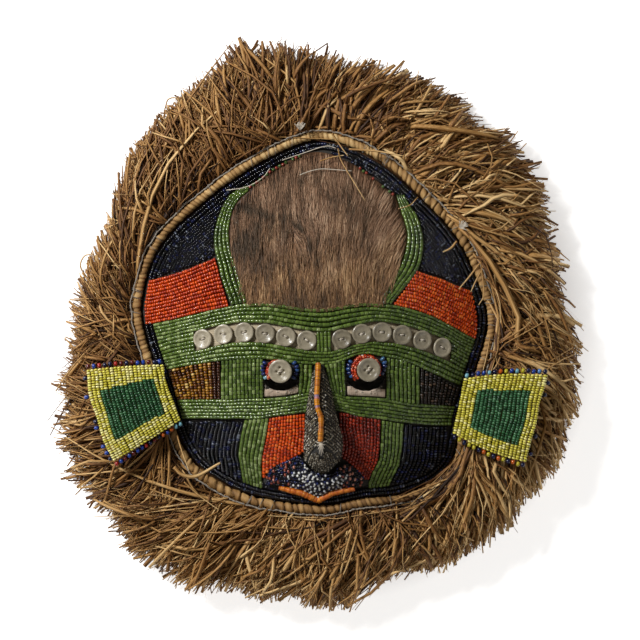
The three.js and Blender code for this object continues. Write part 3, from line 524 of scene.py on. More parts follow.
def bead_glass(name, stops, roughness=0.22, steps="LINEAR", joint=(0.34, 0.3, 0.26, 1), coat=0.1):
    """Opaque glass, tumbled smooth: IOR 1.52 and a low roughness give each bead one small bright
    glint. The batch's tints come from a ramp, and the ends are painted dark, partly for the dust
    and thread that sit there and partly as painted shade where the beads meet."""
    material, tree = empty_material(name)
    tint = add_node(tree, "Attribute", {"attribute_name": "tint"})
    end = add_node(tree, "Attribute", {"attribute_name": "end"})
    glass = add_node(tree, "ValToRGB", {"stops": stops, "steps": steps},
                     {"Fac": tint.outputs["Fac"]})
    dust_and_joint_shade = add_node(tree, "Mix", {"data_type": "RGBA", "blend_type": "MULTIPLY"},
                     {0: end.outputs["Fac"], 6: glass, 7: joint})
    place = add_node(tree, "TexCoord")
    # Handling leaves a film in patches about 12 mm wide
    film = add_node(tree, "TexNoise", inputs={
        "Vector": place.outputs["Object"], "Scale": 80.0, "Detail": 2.0})
    gloss = add_node(tree, "MapRange", inputs={
        "Value": film.outputs["Fac"], "From Min": 0.3, "From Max": 0.7,
        "To Min": roughness * 0.7, "To Max": roughness * 1.5})
    shader = add_node(tree, "BsdfPrincipled", inputs={
        "Base Color": dust_and_joint_shade.outputs[2], "Roughness": gloss, "IOR": 1.52,
        "Coat Weight": coat, "Coat Roughness": 0.08})
    add_node(tree, "OutputMaterial", inputs={"Surface": shader})
    return material


green_glass = bead_glass("green_seed_beads", [
    (0.0, "384a1b"), (0.4, "4a5f23"), (0.85, "5e7331"), (1.0, "82935a")], roughness=0.16,
    joint=(0.86, 0.85, 0.8, 1), coat=0.3)
orange_glass = bead_glass("orange_seed_beads", [
    (0.0, "9b2704"), (0.35, "c54009"), (0.75, "da520e"), (1.0, "e4762e")], coat=0.05)
# A darker copy of the orange glass: painted shade for the right cheek beside the nose
orange_glass_in_painted_shade = bead_glass("dark_red_seed_beads", [
    (0.0, "4c0b02"), (0.35, "7c1a05"), (0.7, "a32c0a"), (0.9, "c4440f"), (1.0, "d85a1e")], coat=0.0)
# The palest tints at the top of the ramp are painted glints
navy_glass = bead_glass("navy_seed_beads", [
    (0.0, "020305"), (0.6, "04060d"), (0.8, "0a0f2b"), (0.92, "151c46"), (0.96, "343b4c"),
    (1.0, "6a707c")], roughness=0.07, coat=0.12)
amber_glass = bead_glass("amber_seed_beads", [
    (0.0, "3a1a0a"), (0.35, "744210"), (0.7, "a27017"), (0.92, "c4943a"), (1.0, "dfc07a")])
dark_brown_glass = bead_glass("dark_brown_seed_beads", [
    (0.0, "0c0705"), (0.6, "1d130d"), (0.9, "31211a"), (1.0, "5c4838")], coat=0.0)
yellow_glass = bead_glass("yellow_seed_beads", [
    (0.0, "9c9222"), (0.4, "c4ba3a"), (0.8, "ddd350"), (1.0, "ece596")])
ear_green_glass = bead_glass("deep_green_seed_beads", [
    (0.0, "1c4526"), (0.5, "2f633a"), (0.85, "4a7c52"), (1.0, "639069")])
print("beads of", len([m for m in bpy.data.materials if "beads" in m.name]), "colours")

# %% [markdown]
# ## Fields of beads
# A field is filled in one of two ways. Where it keeps its width, the strings share it evenly. Where
# it narrows to a corner, as on the cheeks, they keep their spacing and run parallel to one side,
# and each is cut off where the field ends.

# %% Laying strings
STRING_LIFT = 1.75  # middle of a bead above the cloth
STRING_PITCH = 2.8
SAMPLES = 60
SWAY, SWAY_SIZE = 0.55, 26  # sewn by hand, neighbouring strings sway together
WIDEST = 3.0  # no bead is thicker, so gaps open where strings part
STITCH_HALF, STITCH_EVERY = 2.4, 6  # half a stitch behind the cloth, and every how many beads
ENDS = np.array([[-1], [0], [1]])  # a stitch's first end, its middle and its other end


def pitch_between(paths):
    """The distance from each string to the next, at every sample."""
    if len(paths) == 1:
        return np.full(paths.shape[:2], STRING_PITCH)
    return np.linalg.norm(np.gradient(paths, axis=0), axis=2)


def downward(top, bottom, left, right, top_y, bottom_y, strings):
    """Evenly shared strings that run down: x is the mix of the two sides at its height, and y the
    mix of the top and the bottom line at that string."""
    across = (np.arange(strings)[:, None] + 0.5) / strings
    start = top(mix(left(top_y), right(top_y), across))
    stop = bottom(mix(left(bottom_y), right(bottom_y), across))
    y = mix(start, stop, np.linspace(0, 1, SAMPLES)[None, :])
    return mix(left(y), right(y), across), y


def crosswise(upper, lower, start, stop, strings):
    """Evenly shared strings that run across: x goes from one end to the other, and y is the mix of
    the two lines there."""
    across = (np.arange(strings)[:, None] + 0.5) / strings
    x = mix(start(across), stop(across), np.linspace(0, 1, SAMPLES)[None, :])
    return x, mix(upper(x), lower(x), across)


def level(value):
    """The same value everywhere."""
    return lambda t: value + 0 * np.asarray(t, float)


def shifted(line, by):
    """A line moved by a distance."""
    return lambda t: line(t) + by


sewn = []  # where each field's thread goes through the cloth


def bead_field(name, strings_xy, material, seed, keep=None, tint=None, length=BEAD_LENGTH,
               shape=ROUND_BEAD, paler=0.0):
    """Puts beads on strings given as x and y, drops those that keep turns down, and stands them in
    for the solid of the same name. The green beads are painted paler on the left side, as painted
    light, and paler adds to that."""
    rng = np.random.default_rng(seed)
    x, y = strings_xy
    x, y = (v + SWAY * slow_field(x, y, seed + s, SWAY_SIZE) for v, s in ((x, 0), (y, 500)))
    paths = over_face(x, y, STRING_LIFT)
    centre, along, room, number, share = along_strings(paths, pitch_between(paths), length)
    if keep is not None:
        kept = keep(centre[:, 0], centre[:, 1])
        centre, along, room, number, share = (a[kept] for a in (centre, along, room, number, share))
    sewn.append((centre[:, None] + along[:, None] * STITCH_HALF * ENDS)[::STITCH_EVERY])
    up = face_normal(centre[:, 0], centre[:, 1])
    room = np.minimum(room, WIDEST) * 0.97
    # Green beads are painted paler towards the left and darker towards the right: painted light
    # from the left
    painted_light_slope = 0.0018 * (material == green_glass)
    values = tint(rng, number, share) if tint else np.clip(
        rng.random(len(centre)) + paler - painted_light_slope * centre[:, 0], 0, 1)
    stands_for = [name] if name in frame["nodes"] else []
    return bead_piece("beads_" + name, centre, along, up, room, material,
                      material.name.replace("_seed", ""), rng, stands_for, values, length, shape)


def green_field(name, strings_xy, seed, paler=0.0):
    """A field of green beads, which are longer than the others."""
    bead_field(name, strings_xy, green_glass, seed, length=2.7, shape=LONG_BEAD, paler=paler)


print("strings lie", STRING_PITCH, "mm apart")

# %% [markdown]
# ## Forehead, temples and rim
# Two dark strings follow the whole rim. The dark corners of the forehead continue them inward,
# string by string, until they meet the green border of the fur. The orange temples run across.

# %% Dark strings along the rim


def rim_strings(first, count, angles):
    """Strings that follow the edge, each one pitch further in than the last."""
    inset = first + STRING_PITCH * np.arange(count)[:, None]
    x, y, _ = rim_path(angles[None, :], -inset)
    return x, y


def beside_temple(x, y):
    """False where the left temple's orange strings run out over the dark ones."""
    return ~((x < -100) & (y < TEMPLE_TOP_LEFT(x) + 0.5) & (y > BROW_TOP(x) + 1))


bead_field("edge_navy_strings", rim_strings(1.5, 2, np.linspace(0, TAU, 400)), navy_glass, 21,
           beside_temple)
FINE_PITCH, FINE_LENGTH = 1.95, 1.35  # the corners hold a finer bead


def forehead_corner(side, border, temple):
    """True where a bead lies outside the fur's border and above the temple, or above the fur."""
    def keep(x, y):
        beside = (side * (x - border(y)) > 1.0) & (y < 97)
        above = y > FUR_TOP(x) + 0.6
        return (beside | above) & (y > temple(x) + 1.6) & (x * side > 0)
    return keep


def corner_strings(angles):
    """Fine strings that go on inward from the rim."""
    inset = EDGE_BAND + 1.2 + FINE_PITCH * np.arange(21)[:, None]
    x, y, _ = rim_path(angles[None, :], -inset)
    return x, y


bead_field("forehead_navy_left", corner_strings(np.linspace(np.pi * 0.5, np.pi * 0.95, 300)),
           navy_glass, 22, forehead_corner(-1, FUR_BORDER_LEFT, TEMPLE_TOP_LEFT),
           length=FINE_LENGTH)
bead_field("forehead_navy_right", corner_strings(np.linspace(np.pi * 0.05, np.pi * 0.5, 300)),
           navy_glass, 23, forehead_corner(1, FUR_BORDER_RIGHT, TEMPLE_TOP_RIGHT),
           length=FINE_LENGTH)

# %% Green border of the fur, orange temples
left_band, right_band = band_x(-1), band_x(1)
green_field("fur_border_left", downward(
    level(95), shifted(BROW_TOP, 0.6), FUR_BORDER_LEFT, FUR_LEFT, 94, 14, 4), 31, -0.38)
green_field("fur_border_right", downward(
    level(89), shifted(BROW_TOP, 0.6), FUR_RIGHT, FUR_BORDER_RIGHT, 88, 14, 4), 32)
bead_field("temple_orange_left", crosswise(
    TEMPLE_TOP_LEFT, BROW_TOP, lambda s: left_band(mix(29, 0, s)) - 4.6,
    lambda s: FUR_BORDER_LEFT(mix(44, 13, s)) - 0.8, 13), orange_glass, 33, paler=-0.22,
    shape=SNUG_BEAD)
bead_field("temple_orange_right", crosswise(
    TEMPLE_TOP_RIGHT, BROW_TOP, lambda s: FUR_BORDER_RIGHT(mix(34, 13, s)) + 0.8,
    lambda s: right_band(mix(20, -9, s)), 11), orange_glass, 34, shape=SNUG_BEAD)

# %% [markdown]
# ## Brow, eyes and cheeks
# Five green strings run above the row of buttons and four below it, with short ones past its ends
# and upright ones over the nose. Beside the eyes the strings stand upright. Below, six strings
# cross to each side of the nose, and the cheeks hang from them.

# %% Brow strings
# Half the height that the row of buttons keeps free, and the room past the middle of an end button
ROW_ROOM, ROW_END_ROOM = 6.7, 6.9
BUTTON_ROWS = {"left": (-81, -9.2), "right": (14.9, 84.4)}  # x of the first and the last button
row_above, row_below = shifted(BUTTON_LINE, ROW_ROOM), shifted(BUTTON_LINE, -ROW_ROOM)
left_end = lambda upper, lower: lambda s: left_band(mix(upper, lower, s))
right_end = lambda upper, lower: lambda s: right_band(mix(upper, lower, s))
green_field("brow_green_upper", crosswise(
    BROW_TOP, row_above, left_end(-2, -14), right_end(-12, -22), 5), 41)
green_field("brow_green_lower", crosswise(
    row_below, BROW_BOTTOM, left_end(-26, -33), right_end(-35, -45), 4), 42)
green_field("brow_green_end_left", crosswise(
    row_above, row_below, left_end(-15, -26), level(BUTTON_ROWS["left"][0] - ROW_END_ROOM), 5), 43)
green_field("brow_green_end_right", crosswise(
    row_above, row_below, level(BUTTON_ROWS["right"][1] + ROW_END_ROOM), right_end(-23, -35),
    5), 44)
green_field("bridge_green", downward(
    row_above, row_below, level(-2.2), level(8), -8, -20, 4), 45)

# %% Strings beside and under the eyes
EYE_SIDE = (-32, -52)  # heights at the two ends of the strings beside the eyes
dark_ends = lambda last: lambda rng, number, share: np.where(
    number >= last, 0.05 * rng.random(len(number)), rng.random(len(number)))
bead_field("outer_eye_brown_left", downward(
    BROW_BOTTOM, UNDER_EYE_TOP, left_band, level(-69), *EYE_SIDE, 12), amber_glass, 51,
    tint=dark_ends(10))
bead_field("outer_eye_brown_right", downward(
    BROW_BOTTOM, UNDER_EYE_TOP, level(69.8), right_band, *EYE_SIDE, 10), dark_brown_glass, 52)


def beside_nose(y, side):
    """x of the nose's foot at a height y, on one side."""
    return NOSE_MIDDLE(y) + side * (NOSE_HALF_WIDTH(y) + 0.4)


for name, start, stop, strings, seed in (
    ("eye_side_green_left", level(-68.8), level(-39.3), 11, 53),
    ("inner_eye_green_left", level(-14.9), lambda y: beside_nose(y, -1), 3, 54),
    ("inner_eye_green_right", lambda y: beside_nose(y, 1), level(17.9), 5, 55),
    ("eye_side_green_right", level(46.2), level(69.6), 8, 56),
):
    green_field(name, downward(BROW_BOTTOM, UNDER_EYE_TOP, start, stop, *EYE_SIDE, strings), seed)

nose_end = lambda side: lambda s: beside_nose(mix(-49, -63, s), side)
green_field("under_eye_green_left", crosswise(
    UNDER_EYE_TOP, UNDER_EYE_BOTTOM, left_end(-55, -67), nose_end(-1), 6), 57)
green_field("under_eye_green_right", crosswise(
    UNDER_EYE_TOP, UNDER_EYE_BOTTOM, nose_end(1), right_end(-58, -72), 6), 58)

# %% Cheeks


def cheek_strings(guide, side, count):
    """Strings parallel to a guide line, each one pitch further out, from the chin to the eyes."""
    y = np.linspace(-66, -122, SAMPLES)[None, :]
    offset = (np.arange(count)[:, None] + 0.5) * STRING_PITCH + 0.3
    return guide(y) + side * offset, y + 0 * offset


def dark_cheek(x, y):
    """True under the crossing strings and inside the dark band."""
    return (y < UNDER_EYE_BOTTOM(x) - 1.2) & (inside_edge(x, y) > EDGE_BAND + 1)


for name, guide, side, seed in (("cheek_navy_left", CHEEK_LEFT_OUTER, -1, 61),
                                ("cheek_navy_right", CHEEK_RIGHT_OUTER, 1, 62)):
    bead_field(name, cheek_strings(guide, side, 15), navy_glass, seed, dark_cheek)
cheek_top = shifted(UNDER_EYE_BOTTOM, -0.4)
green_field("cheek_green_left", downward(
    cheek_top, band_y, CHEEK_LEFT_OUTER, CHEEK_LEFT_INNER, -68, -114, 6), 63, 0.2)
green_field("cheek_green_right", downward(
    cheek_top, band_y, CHEEK_RIGHT_INNER, CHEEK_RIGHT_OUTER, -68, -112, 6), 64)
bead_field("cheek_orange_left", downward(
    cheek_top, CHEEK_BOTTOM_LEFT, shifted(CHEEK_LEFT_INNER, 0.5),
    lambda y: np.minimum(beside_nose(y, -1), -10.4), -68, -100, 12), orange_glass, 65,
    length=2.5, shape=SNUG_BEAD)
# On the right the orange beads are given a darker glass, painted shade from the nose, and they grow
# brighter down the strings beside the green ones, where that painted shade thins
bead_field("cheek_orange_right", downward(
    cheek_top, CHEEK_BOTTOM_RIGHT, lambda y: np.maximum(beside_nose(y, 1), 13),
    shifted(CHEEK_RIGHT_INNER, -0.5), -68, -103, 12), orange_glass_in_painted_shade, 66,
    tint=lambda rng, number, share: 0.6 * rng.random(len(share)) + 0.4 * share * number / 11,
    length=2.5, shape=SNUG_BEAD)

# %% [markdown]
# ## Tubes
# Threads, twine, hairs and blades are all a small section carried along a path. One function does
# it for thousands of paths at once: it finds the direction of each path, stands the section square
# to it and joins the rings.

# %% A section along many paths


def tubes(paths, across, lift, section, twist=None):
    """Closed tubes along paths (n, m, 3). The ring at each point is the path + side * u * across +
    up * v * lift, where (u, v) are the section's corners, side is level and square to the path,
    and twist turns the two about the path. Side, up and ahead are left-handed, so the faces are
    turned. Returns points (n, m, k, 3) and faces."""
    n, m = paths.shape[:2]
    ahead = unit(np.gradient(paths, axis=1))
    side = unit(np.cross(ahead, np.array([0, 0, 1.0])) + 1e-6)
    up = np.cross(side, ahead)
    if twist is not None:
        c, s = np.cos(twist)[..., None], np.sin(twist)[..., None]
        side, up = side * c + up * s, up * c - side * s
    u, v = np.array(section, float).T
    points = (
        paths[:, :, None]
        + side[:, :, None] * (u * across[..., None])[..., None]
        + up[:, :, None] * (v * lift[..., None])[..., None]
    )
    return points, [f[:, ::-1] for f in tube_faces(n, m, len(u))]


ROUND = [[np.cos(a), np.sin(a)] for a in np.arange(6) * TAU / 6]
FOLDED = [[-1, -0.35], [1, -0.35], [0.1, 0.65]]  # a blade folded along its middle


def thread_piece(name, paths, radius, material, slot, section=ROUND):
    """Makes one piece of many threads, with one radius or one for each ring."""
    radius = np.broadcast_to(radius, paths.shape[:2])
    points, faces = tubes(paths, radius, radius, section)
    return mesh_piece(name, points, faces, material, slot)


print("a folded blade has", len(FOLDED), "sides")

# %% [markdown]
# ## The cloth
# Under the beads lies one sheet of cotton, stiffened with paste and pressed to a dome. It shows
# between the brow buttons, along the eye slits and from behind. It is a grid in polar steps with
# two skins, and the two slits are cut through it.

# %% The eyes and their slits
EYES = {
    "left": {"button": (-26.9, -33.3), "ring": (-28.7, -34.4), "radius": 7.9, "arc": (-25, 215),
             "beads": (-39.2, -16.8), "slit": (-27.1, 12.4)},
    "right": {"button": (32.8, -32.4), "ring": (31.6, -33.2), "radius": 9.8, "arc": (-20, 222),
              "beads": (20.6, 44.8), "slit": (31.7, 13.2)},
}
SLIT_TOP, SLIT_DEPTH = -37.4, 10.8


def slit_edge(x, eye, slack):
    """y of the slit's lower edge, half an ellipse. Slack makes it that much wider."""
    middle, half = eye["slit"]
    share = np.clip(np.abs(x - middle) / (half + slack), 0, 1)
    return SLIT_TOP - SLIT_DEPTH * np.sqrt(1 - share**2)


print("a slit reaches", SLIT_DEPTH, "mm down")

# %% Stiff cloth


def with_modifiers(piece):
    """Gives a piece the mesh that its modifiers make, and takes them off."""
    bpy.context.view_layer.update()
    evaluated = piece.evaluated_get(bpy.context.evaluated_depsgraph_get())
    mesh = bpy.data.meshes.new_from_object(evaluated)
    piece.modifiers.clear()
    old, piece.data = piece.data, mesh
    bpy.data.meshes.remove(old)
    return mesh


def cotton(name, colour, dark, shade_under_beads=None):
    """Cotton stiffened with paste: matt, off-white, a little soiled. The weave is plain, with a
    thread every 0.7 mm, drawn as two crossed waves in the bump. Where the point's number bare is 0,
    under the beads, the cloth is painted dark, as shade in the gaps between the beads."""
    material, tree = empty_material(name)
    place = add_node(tree, "TexCoord")
    waves = [add_node(tree, "TexWave", {"bands_direction": axis}, {
        "Vector": place.outputs["Object"], "Scale": 0.314 / 0.0014, "Distortion": 0.6,
        "Detail": 1.0, "Detail Scale": 2.0}) for axis in ("X", "Y")]
    weave = add_node(tree, "Math", {"operation": "MAXIMUM"}, {
        0: waves[0].outputs["Fac"], 1: waves[1].outputs["Fac"]})
    soil = add_node(tree, "TexNoise", inputs={
        "Vector": place.outputs["Object"], "Scale": 60.0, "Detail": 4.0, "Roughness": 0.6})
    tone = add_node(tree, "ValToRGB", {"stops": [(0.35, dark), (0.65, colour)]},
                    {"Fac": soil.outputs["Fac"]})
    if shade_under_beads:
        bare = add_node(tree, "Attribute", {"attribute_name": "bare"})
        tone = add_node(tree, "Mix", {"data_type": "RGBA"}, {
            0: bare.outputs["Fac"], 6: linear(shade_under_beads), 7: tone}).outputs[2]
    bump = add_node(tree, "Bump", inputs={
        "Height": weave, "Strength": 0.5, "Distance": 0.0003})
    shader = add_node(tree, "BsdfPrincipled", inputs={
        "Base Color": tone, "Roughness": 0.9, "Sheen Weight": 0.15,
        "Normal": bump})
    add_node(tree, "OutputMaterial", inputs={"Surface": shader})
    return material


# The last colour is painted shade for the cloth under the beads
stiff_cotton = cotton("stiffened_cotton", "c6b79b", "9d8f75", "2b2620")


def cut_with(piece, tools):
    """Cuts the tools' shapes out of a piece and takes the tools away."""
    for tool in tools:
        cut = piece.modifiers.new("cut", "BOOLEAN")
        cut.object, cut.operation, cut.solver = tool, "DIFFERENCE", "EXACT"
    with_modifiers(piece)
    for tool in tools:
        bpy.data.objects.remove(tool)


def slit_cutter(eye):
    """A block whose plan is the lower half of an ellipse, which is the slit's shape."""
    middle, half = eye["slit"]
    turn = np.linspace(np.pi, TAU, 24)
    plan = np.column_stack([middle + (half + 0.4) * np.cos(turn),
                            SLIT_TOP + SLIT_DEPTH * np.sin(turn)])
    low = np.column_stack([plan, np.full(len(plan), 40.0)])
    high = np.column_stack([plan, np.full(len(plan), 80.0)])
    n = len(plan)
    around = np.arange(n)
    walls = np.stack([around, (around + 1) % n, (around + 1) % n + n, around + n], 1)
    mesh = bpy.data.meshes.new("slit")
    mesh.from_pydata((np.vstack([low, high]) * MM).tolist(), [], [
        *walls.tolist(), list(range(n))[::-1], list(range(n, 2 * n))])
    tool = bpy.data.objects.new("slit", mesh)
    bpy.context.scene.collection.objects.link(tool)
    return tool


# %% The sheet and its cuts
rings, spokes = 60, 220
share = np.linspace(0.004, 1, rings)[:, None]
spoke = np.arange(spokes)[None, :] * TAU / spokes
reach = share * edge_radius(spoke)
sheet_x, sheet_y = reach * np.cos(spoke), reach * np.sin(spoke)
dent = 0.25 * np.sin(sheet_x / 5.3) * np.sin(sheet_y / 4.7 + 1)  # pressed by hand, not quite even
upper = np.stack([sheet_x, sheet_y, face_height(sheet_x, sheet_y) + dent], -1)
lower = upper - [0, 0, CLOTH]
# Only round the row of buttons is the front left its own colour, and the back takes a fifth of the
# painted shade
near_row = np.exp(-(((sheet_y - BUTTON_LINE(sheet_x)) / 7.5) ** 8)) * (np.abs(sheet_x) < 93)
bare = np.concatenate([near_row, np.full(sheet_x.shape, 0.8)])
panel = mesh_piece("face_cloth", np.concatenate([upper, lower[::-1]]), [
    f[:, ::-1] for f in tube_faces(1, 2 * rings, spokes)], stiff_cotton, "face_cloth",
    ["face_panel"], {"bare": bare})
cut_with(panel, [slit_cutter(eye) for eye in EYES.values()])
print("cloth after the slits:", len(panel.data.polygons), "faces")

# %% [markdown]
# ## Buttons
# The brows are shirt buttons and the eyes coat buttons, all turned from mother-of-pearl. A lathe
# leaves a raised rim, a dished middle and fine rings. The whole button is one polar grid: its
# height is the turned profile, less a steep dip at each drilled hole. Off-white thread crosses from
# hole to hole.

# %% Mother-of-pearl


def pearl_shell():
    """Mother-of-pearl: layers of shell, silky and slightly iridescent. Clouds 5 mm wide drift from
    cream to faint pink and green, a clear coat gives the polish, and turning rings every 0.6 mm
    catch the light."""
    material, tree = empty_material("mother_of_pearl")
    place = add_node(tree, "TexCoord")
    clouds = add_node(tree, "TexNoise", inputs={
        "Vector": place.outputs["Object"], "Scale": 200.0, "Detail": 3.0, "Distortion": 1.5})
    tint = add_node(tree, "Attribute", {"attribute_name": "tint"})
    cloud_tone = add_node(tree, "Math", {"operation": "MULTIPLY_ADD"}, {
        0: clouds.outputs["Fac"], 1: 0.5, 2: tint.outputs["Fac"]})
    shell = add_node(tree, "ValToRGB", {"stops": [
        (0.2, "6a6250"), (0.5, "99907b"), (0.65, "aea48e"), (0.8, "bdb6a3"), (1.0, "dad8ca")]},
        {"Fac": cloud_tone})
    out = add_node(tree, "Attribute", {"attribute_name": "out"})
    turned = add_node(tree, "Math", {"operation": "SINE"}, {0: add_node(
        tree, "Math", {"operation": "MULTIPLY"},
        {0: out.outputs["Fac"], 1: 10.5})})
    bump = add_node(tree, "Bump", inputs={
        "Height": turned, "Strength": 0.25, "Distance": 0.0002})
    shader = add_node(tree, "BsdfPrincipled", inputs={
        "Base Color": shell, "Roughness": 0.3, "IOR": 1.55, "Coat Weight": 0.5,
        "Coat Roughness": 0.15, "Sheen Weight": 0.1, "Normal": bump})
    add_node(tree, "OutputMaterial", inputs={"Surface": shader})
    return material


mother_of_pearl = pearl_shell()
print("made", mother_of_pearl.name)

# %% A turned button
BUTTON_AROUND = 56


def seat_frame(x, y, spin):
    """Three directions for a piece that stands square on the cloth: across, along and up."""
    up = face_normal(np.float64(x), np.float64(y))
    across = unit(np.cross(np.array([0, 1.0, 0]), up))
    along = np.cross(up, across)
    c, s = np.cos(spin), np.sin(spin)
    return across * c + along * s, along * c - across * s, up


def button_piece(node, x, y, height, spin, radius, thickness, holes, tone):
    """The top is a polar grid. Its height is the turned profile less the sum of a steep dip round
    each hole. Below, the side rounds in to a flat back. Returns the ends of the thread, in the
    holes, and the direction the button faces."""
    share = np.array([0, .06, .12, .17, .22, .27, .32, .37, .42, .5, .6, .68, .74, .78, .84, .9,
                      .95, .985, 1.0])
    turned = np.interp(share, [0, .5, .66, .76, .86, .94, .985, 1.0],
                       np.array([.66, .7, .76, .93, 1, .98, .86, .6]) * thickness)
    turn = np.arange(BUTTON_AROUND) * TAU / BUTTON_AROUND
    u, v = radius * share[:, None] * np.cos(turn), radius * share[:, None] * np.sin(turn)
    w = np.repeat(turned[:, None], BUTTON_AROUND, 1)
    hole_turn, apart = np.arange(holes) * TAU / holes, radius * (0.3 if holes == 4 else 0.22)
    hole_u, hole_v = apart * np.cos(hole_turn), apart * np.sin(hole_turn)
    for a, b in zip(hole_u, hole_v):
        away = np.hypot(u - a, v - b) / (0.06 * radius + 0.32)
        w = w - thickness * 0.62 / (1 + away**6)
    under = np.array([[1.0, .3], [.9, .1], [.5, .02], [0.02, .02]])
    u = np.vstack([u, radius * under[:, :1] * np.cos(turn)])
    v = np.vstack([v, radius * under[:, :1] * np.sin(turn)])
    w = np.vstack([w, np.repeat(under[:, 1:] * thickness, BUTTON_AROUND, 1)])
    across, along, up = seat_frame(x, y, spin)
    base = over_face(x, y, 0)
    points = base + u[..., None] * across + v[..., None] * along + (w + height)[..., None] * up
    mesh_piece("pearl_" + node, points, [
        grid_faces(len(u), BUTTON_AROUND, close_columns=True)[:, ::-1],
        (np.arange(BUTTON_AROUND) + (len(u) - 1) * BUTTON_AROUND)[None, ::-1]],
        mother_of_pearl, "mother_of_pearl", [node], {"out": np.hypot(u, v), "tint": tone})
    ends = base + hole_u[:, None] * across + hole_v[:, None] * along
    return ends + (height + thickness * 0.6) * up, up


print("a button has", BUTTON_AROUND, "sides")

# %% Thread and its stitches


def sewing_thread(name, colour):
    """Cotton thread: matt, with a faint twist that is too fine to show, drawn as a soft mottle."""
    material, tree = empty_material(name)
    place = add_node(tree, "TexCoord")
    mottle = add_node(tree, "TexNoise", inputs={
        "Vector": place.outputs["Object"], "Scale": 900.0, "Detail": 2.0})
    tone = add_node(tree, "Mix", {"data_type": "RGBA", "blend_type": "MULTIPLY"}, {
        0: mottle.outputs["Fac"], 6: linear(colour), 7: (0.6, 0.55, 0.5, 1)})
    shader = add_node(tree, "BsdfPrincipled", inputs={
        "Base Color": tone.outputs[2], "Roughness": 0.8, "Sheen Weight": 0.3})
    add_node(tree, "OutputMaterial", inputs={"Surface": shader})
    return material


white_thread = sewing_thread("button_thread", "d8d0c0")
STRANDS = 3  # in each stitch
stitches = []


def stitch_between(a, b, up, hump, seed):
    """Strands of thread from one hole to another: a straight run with a low hump, whose ends dip
    into the holes."""
    r = np.random.default_rng(seed)
    wave = np.sin(np.pi * np.linspace(0, 1, 7))[None, :, None]
    shift = r.normal(0, 0.16, (STRANDS, 1, 3))
    path = mix(a, b, np.linspace(0, 1, 7)[None, :, None]) + shift
    return path + up * (hump * wave + 0.35 * wave**0.5 - 0.9 * (1 - wave**0.4))


print("a stitch has", STRANDS, "strands")


# %% Brow buttons
# How bright each shell is and how far each button is turned, from left to right
tones = {"left": (0.36, 0.34, 0.27, 0.11, 0.19, 0.17), "right": (0.05, 0.1, 0.12, 0.1, 0.15, 0.24)}
spins = {"left": (0.35, 0.02, 0.3, -0.12, -0.5, -0.62),
         "right": (0.25, 0.3, -0.05, 0.0, -0.05, -0.5)}
for side, (first, last) in BUTTON_ROWS.items():
    for i, x in enumerate(np.linspace(first, last, 6)):
        ends, up = button_piece(f"brow_button_{side}_{i + 1}", x, BUTTON_LINE(x), 1.2,
                                spins[side][i], 6.85, 2.3, 2, tones[side][i])
        stitches.append(stitch_between(ends[0], ends[1], up, 0.25, int(100 + x)))
print("brow buttons sewn with", STRANDS, "strands each")

# %% [markdown]
# ## Eyes
# Each eye is a coat button on a short drum. Rows of orange beads wrap the drum, and a few blue
# beads stand at its sides. The button's four holes are crossed by a knot of thread.

# %% Eye drums, buttons and blue beads
blue_glass = bead_glass("blue_seed_beads", [
    (0.0, "0d1538"), (0.35, "1b2d68"), (0.6, "2b4f80"), (0.8, "6a9caa"), (1.0, "a5c2c4")],
    roughness=0.14)
drum_glass = bead_glass("orange_red_drum_beads", [
    (0.0, "6c1806"), (0.3, "a92d0c"), (0.75, "c8441a"), (0.93, "dd8660"), (1.0, "d8cfc4")])
EYE_BUTTON_HEIGHT = 6.4
DRUM_ROWS = ((0.9, 1.6), (0.7, 3.3), (0.3, 5.0), (-1.2, 6.2))  # each row's way out and up
eye_tones = {"left": 0.3, "right": 0.18}
corner_tints = {  # dark blue, bright blue or turquoise, from the top down
    ("left", "left"): (0.35, 0.2, 0.3, 0.25, 0.85), ("left", "right"): (0.5, 0.3, 0.55, 0.25, 0.4),
    ("right", "left"): (0.55, 0.15, 0.5, 0.2, 0.6), ("right", "right"): (0.65, 0.6, 0.2, 0.1, 0.15),
}
for side, eye in EYES.items():
    r = np.random.default_rng(71 if side == "left" else 72)
    across, along, up = seat_frame(*eye["ring"], 0)
    centre = over_face(*eye["ring"], 0)
    parts = []
    for row, (out, height) in enumerate(DRUM_ROWS):
        start, stop = np.radians(eye["arc"])
        count = int(eye["radius"] * (stop - start) / 1.8)
        turn = mix(start, stop, (np.arange(count) + 0.5 * (row % 2) + 0.25) / count)
        spot = np.cos(turn)[:, None] * across + np.sin(turn)[:, None] * along
        here = centre + spot * (eye["radius"] + out - 0.6) + up * height
        forward = -np.sin(turn)[:, None] * across + np.cos(turn)[:, None] * along
        parts.append((here, forward, unit(spot + 0.4 * up)))
    here, forward, face_out = (np.concatenate(p) for p in zip(*parts))
    bead_piece(f"eye_drum_{side}", here, forward, face_out, np.full(len(here), 2.15), drum_glass,
               "orange_beads", r, [f"eye_ring_{side}"], length=1.8, shape=ROUND_BEAD)
    ends, up = button_piece(f"eye_button_{side}", *eye["button"], EYE_BUTTON_HEIGHT, 0.12, 8.2, 2.5,
                            4, eye_tones[side])
    for a, b in ((0, 2), (1, 3)):
        one, other = (mix(ends[a], ends[b], t) for t in (0.2, 0.8))
        stitches.append(stitch_between(one, other, up, 0.4, 80 + a))
    for place, x in zip(("left", "right"), eye["beads"]):
        outward = -1 if place == "left" else 1
        y = eye["button"][1] + np.linspace(4.9, -5.2, 5)
        curve = outward * np.array([-0.9, 0.5, 0.7, 0.1, -1.3])
        if (side, place) == ("right", "right"):  # this stack stands higher
            y, curve = y + 2.0, curve - 0.4
        here = over_face(x + curve, y, 3.4)
        bead_piece(f"blue_beads_{side}_{place}", here, unit(np.gradient(here, axis=0)),
                   face_normal(here[:, 0], here[:, 1]), np.full(5, 3.7), blue_glass, "blue_beads",
                   r, [f"eye_{side}_beads_{place}"], corner_tints[side, place], length=2.6,
                   shape=ROUND_BEAD)

# %% Frayed cloth below the eyes


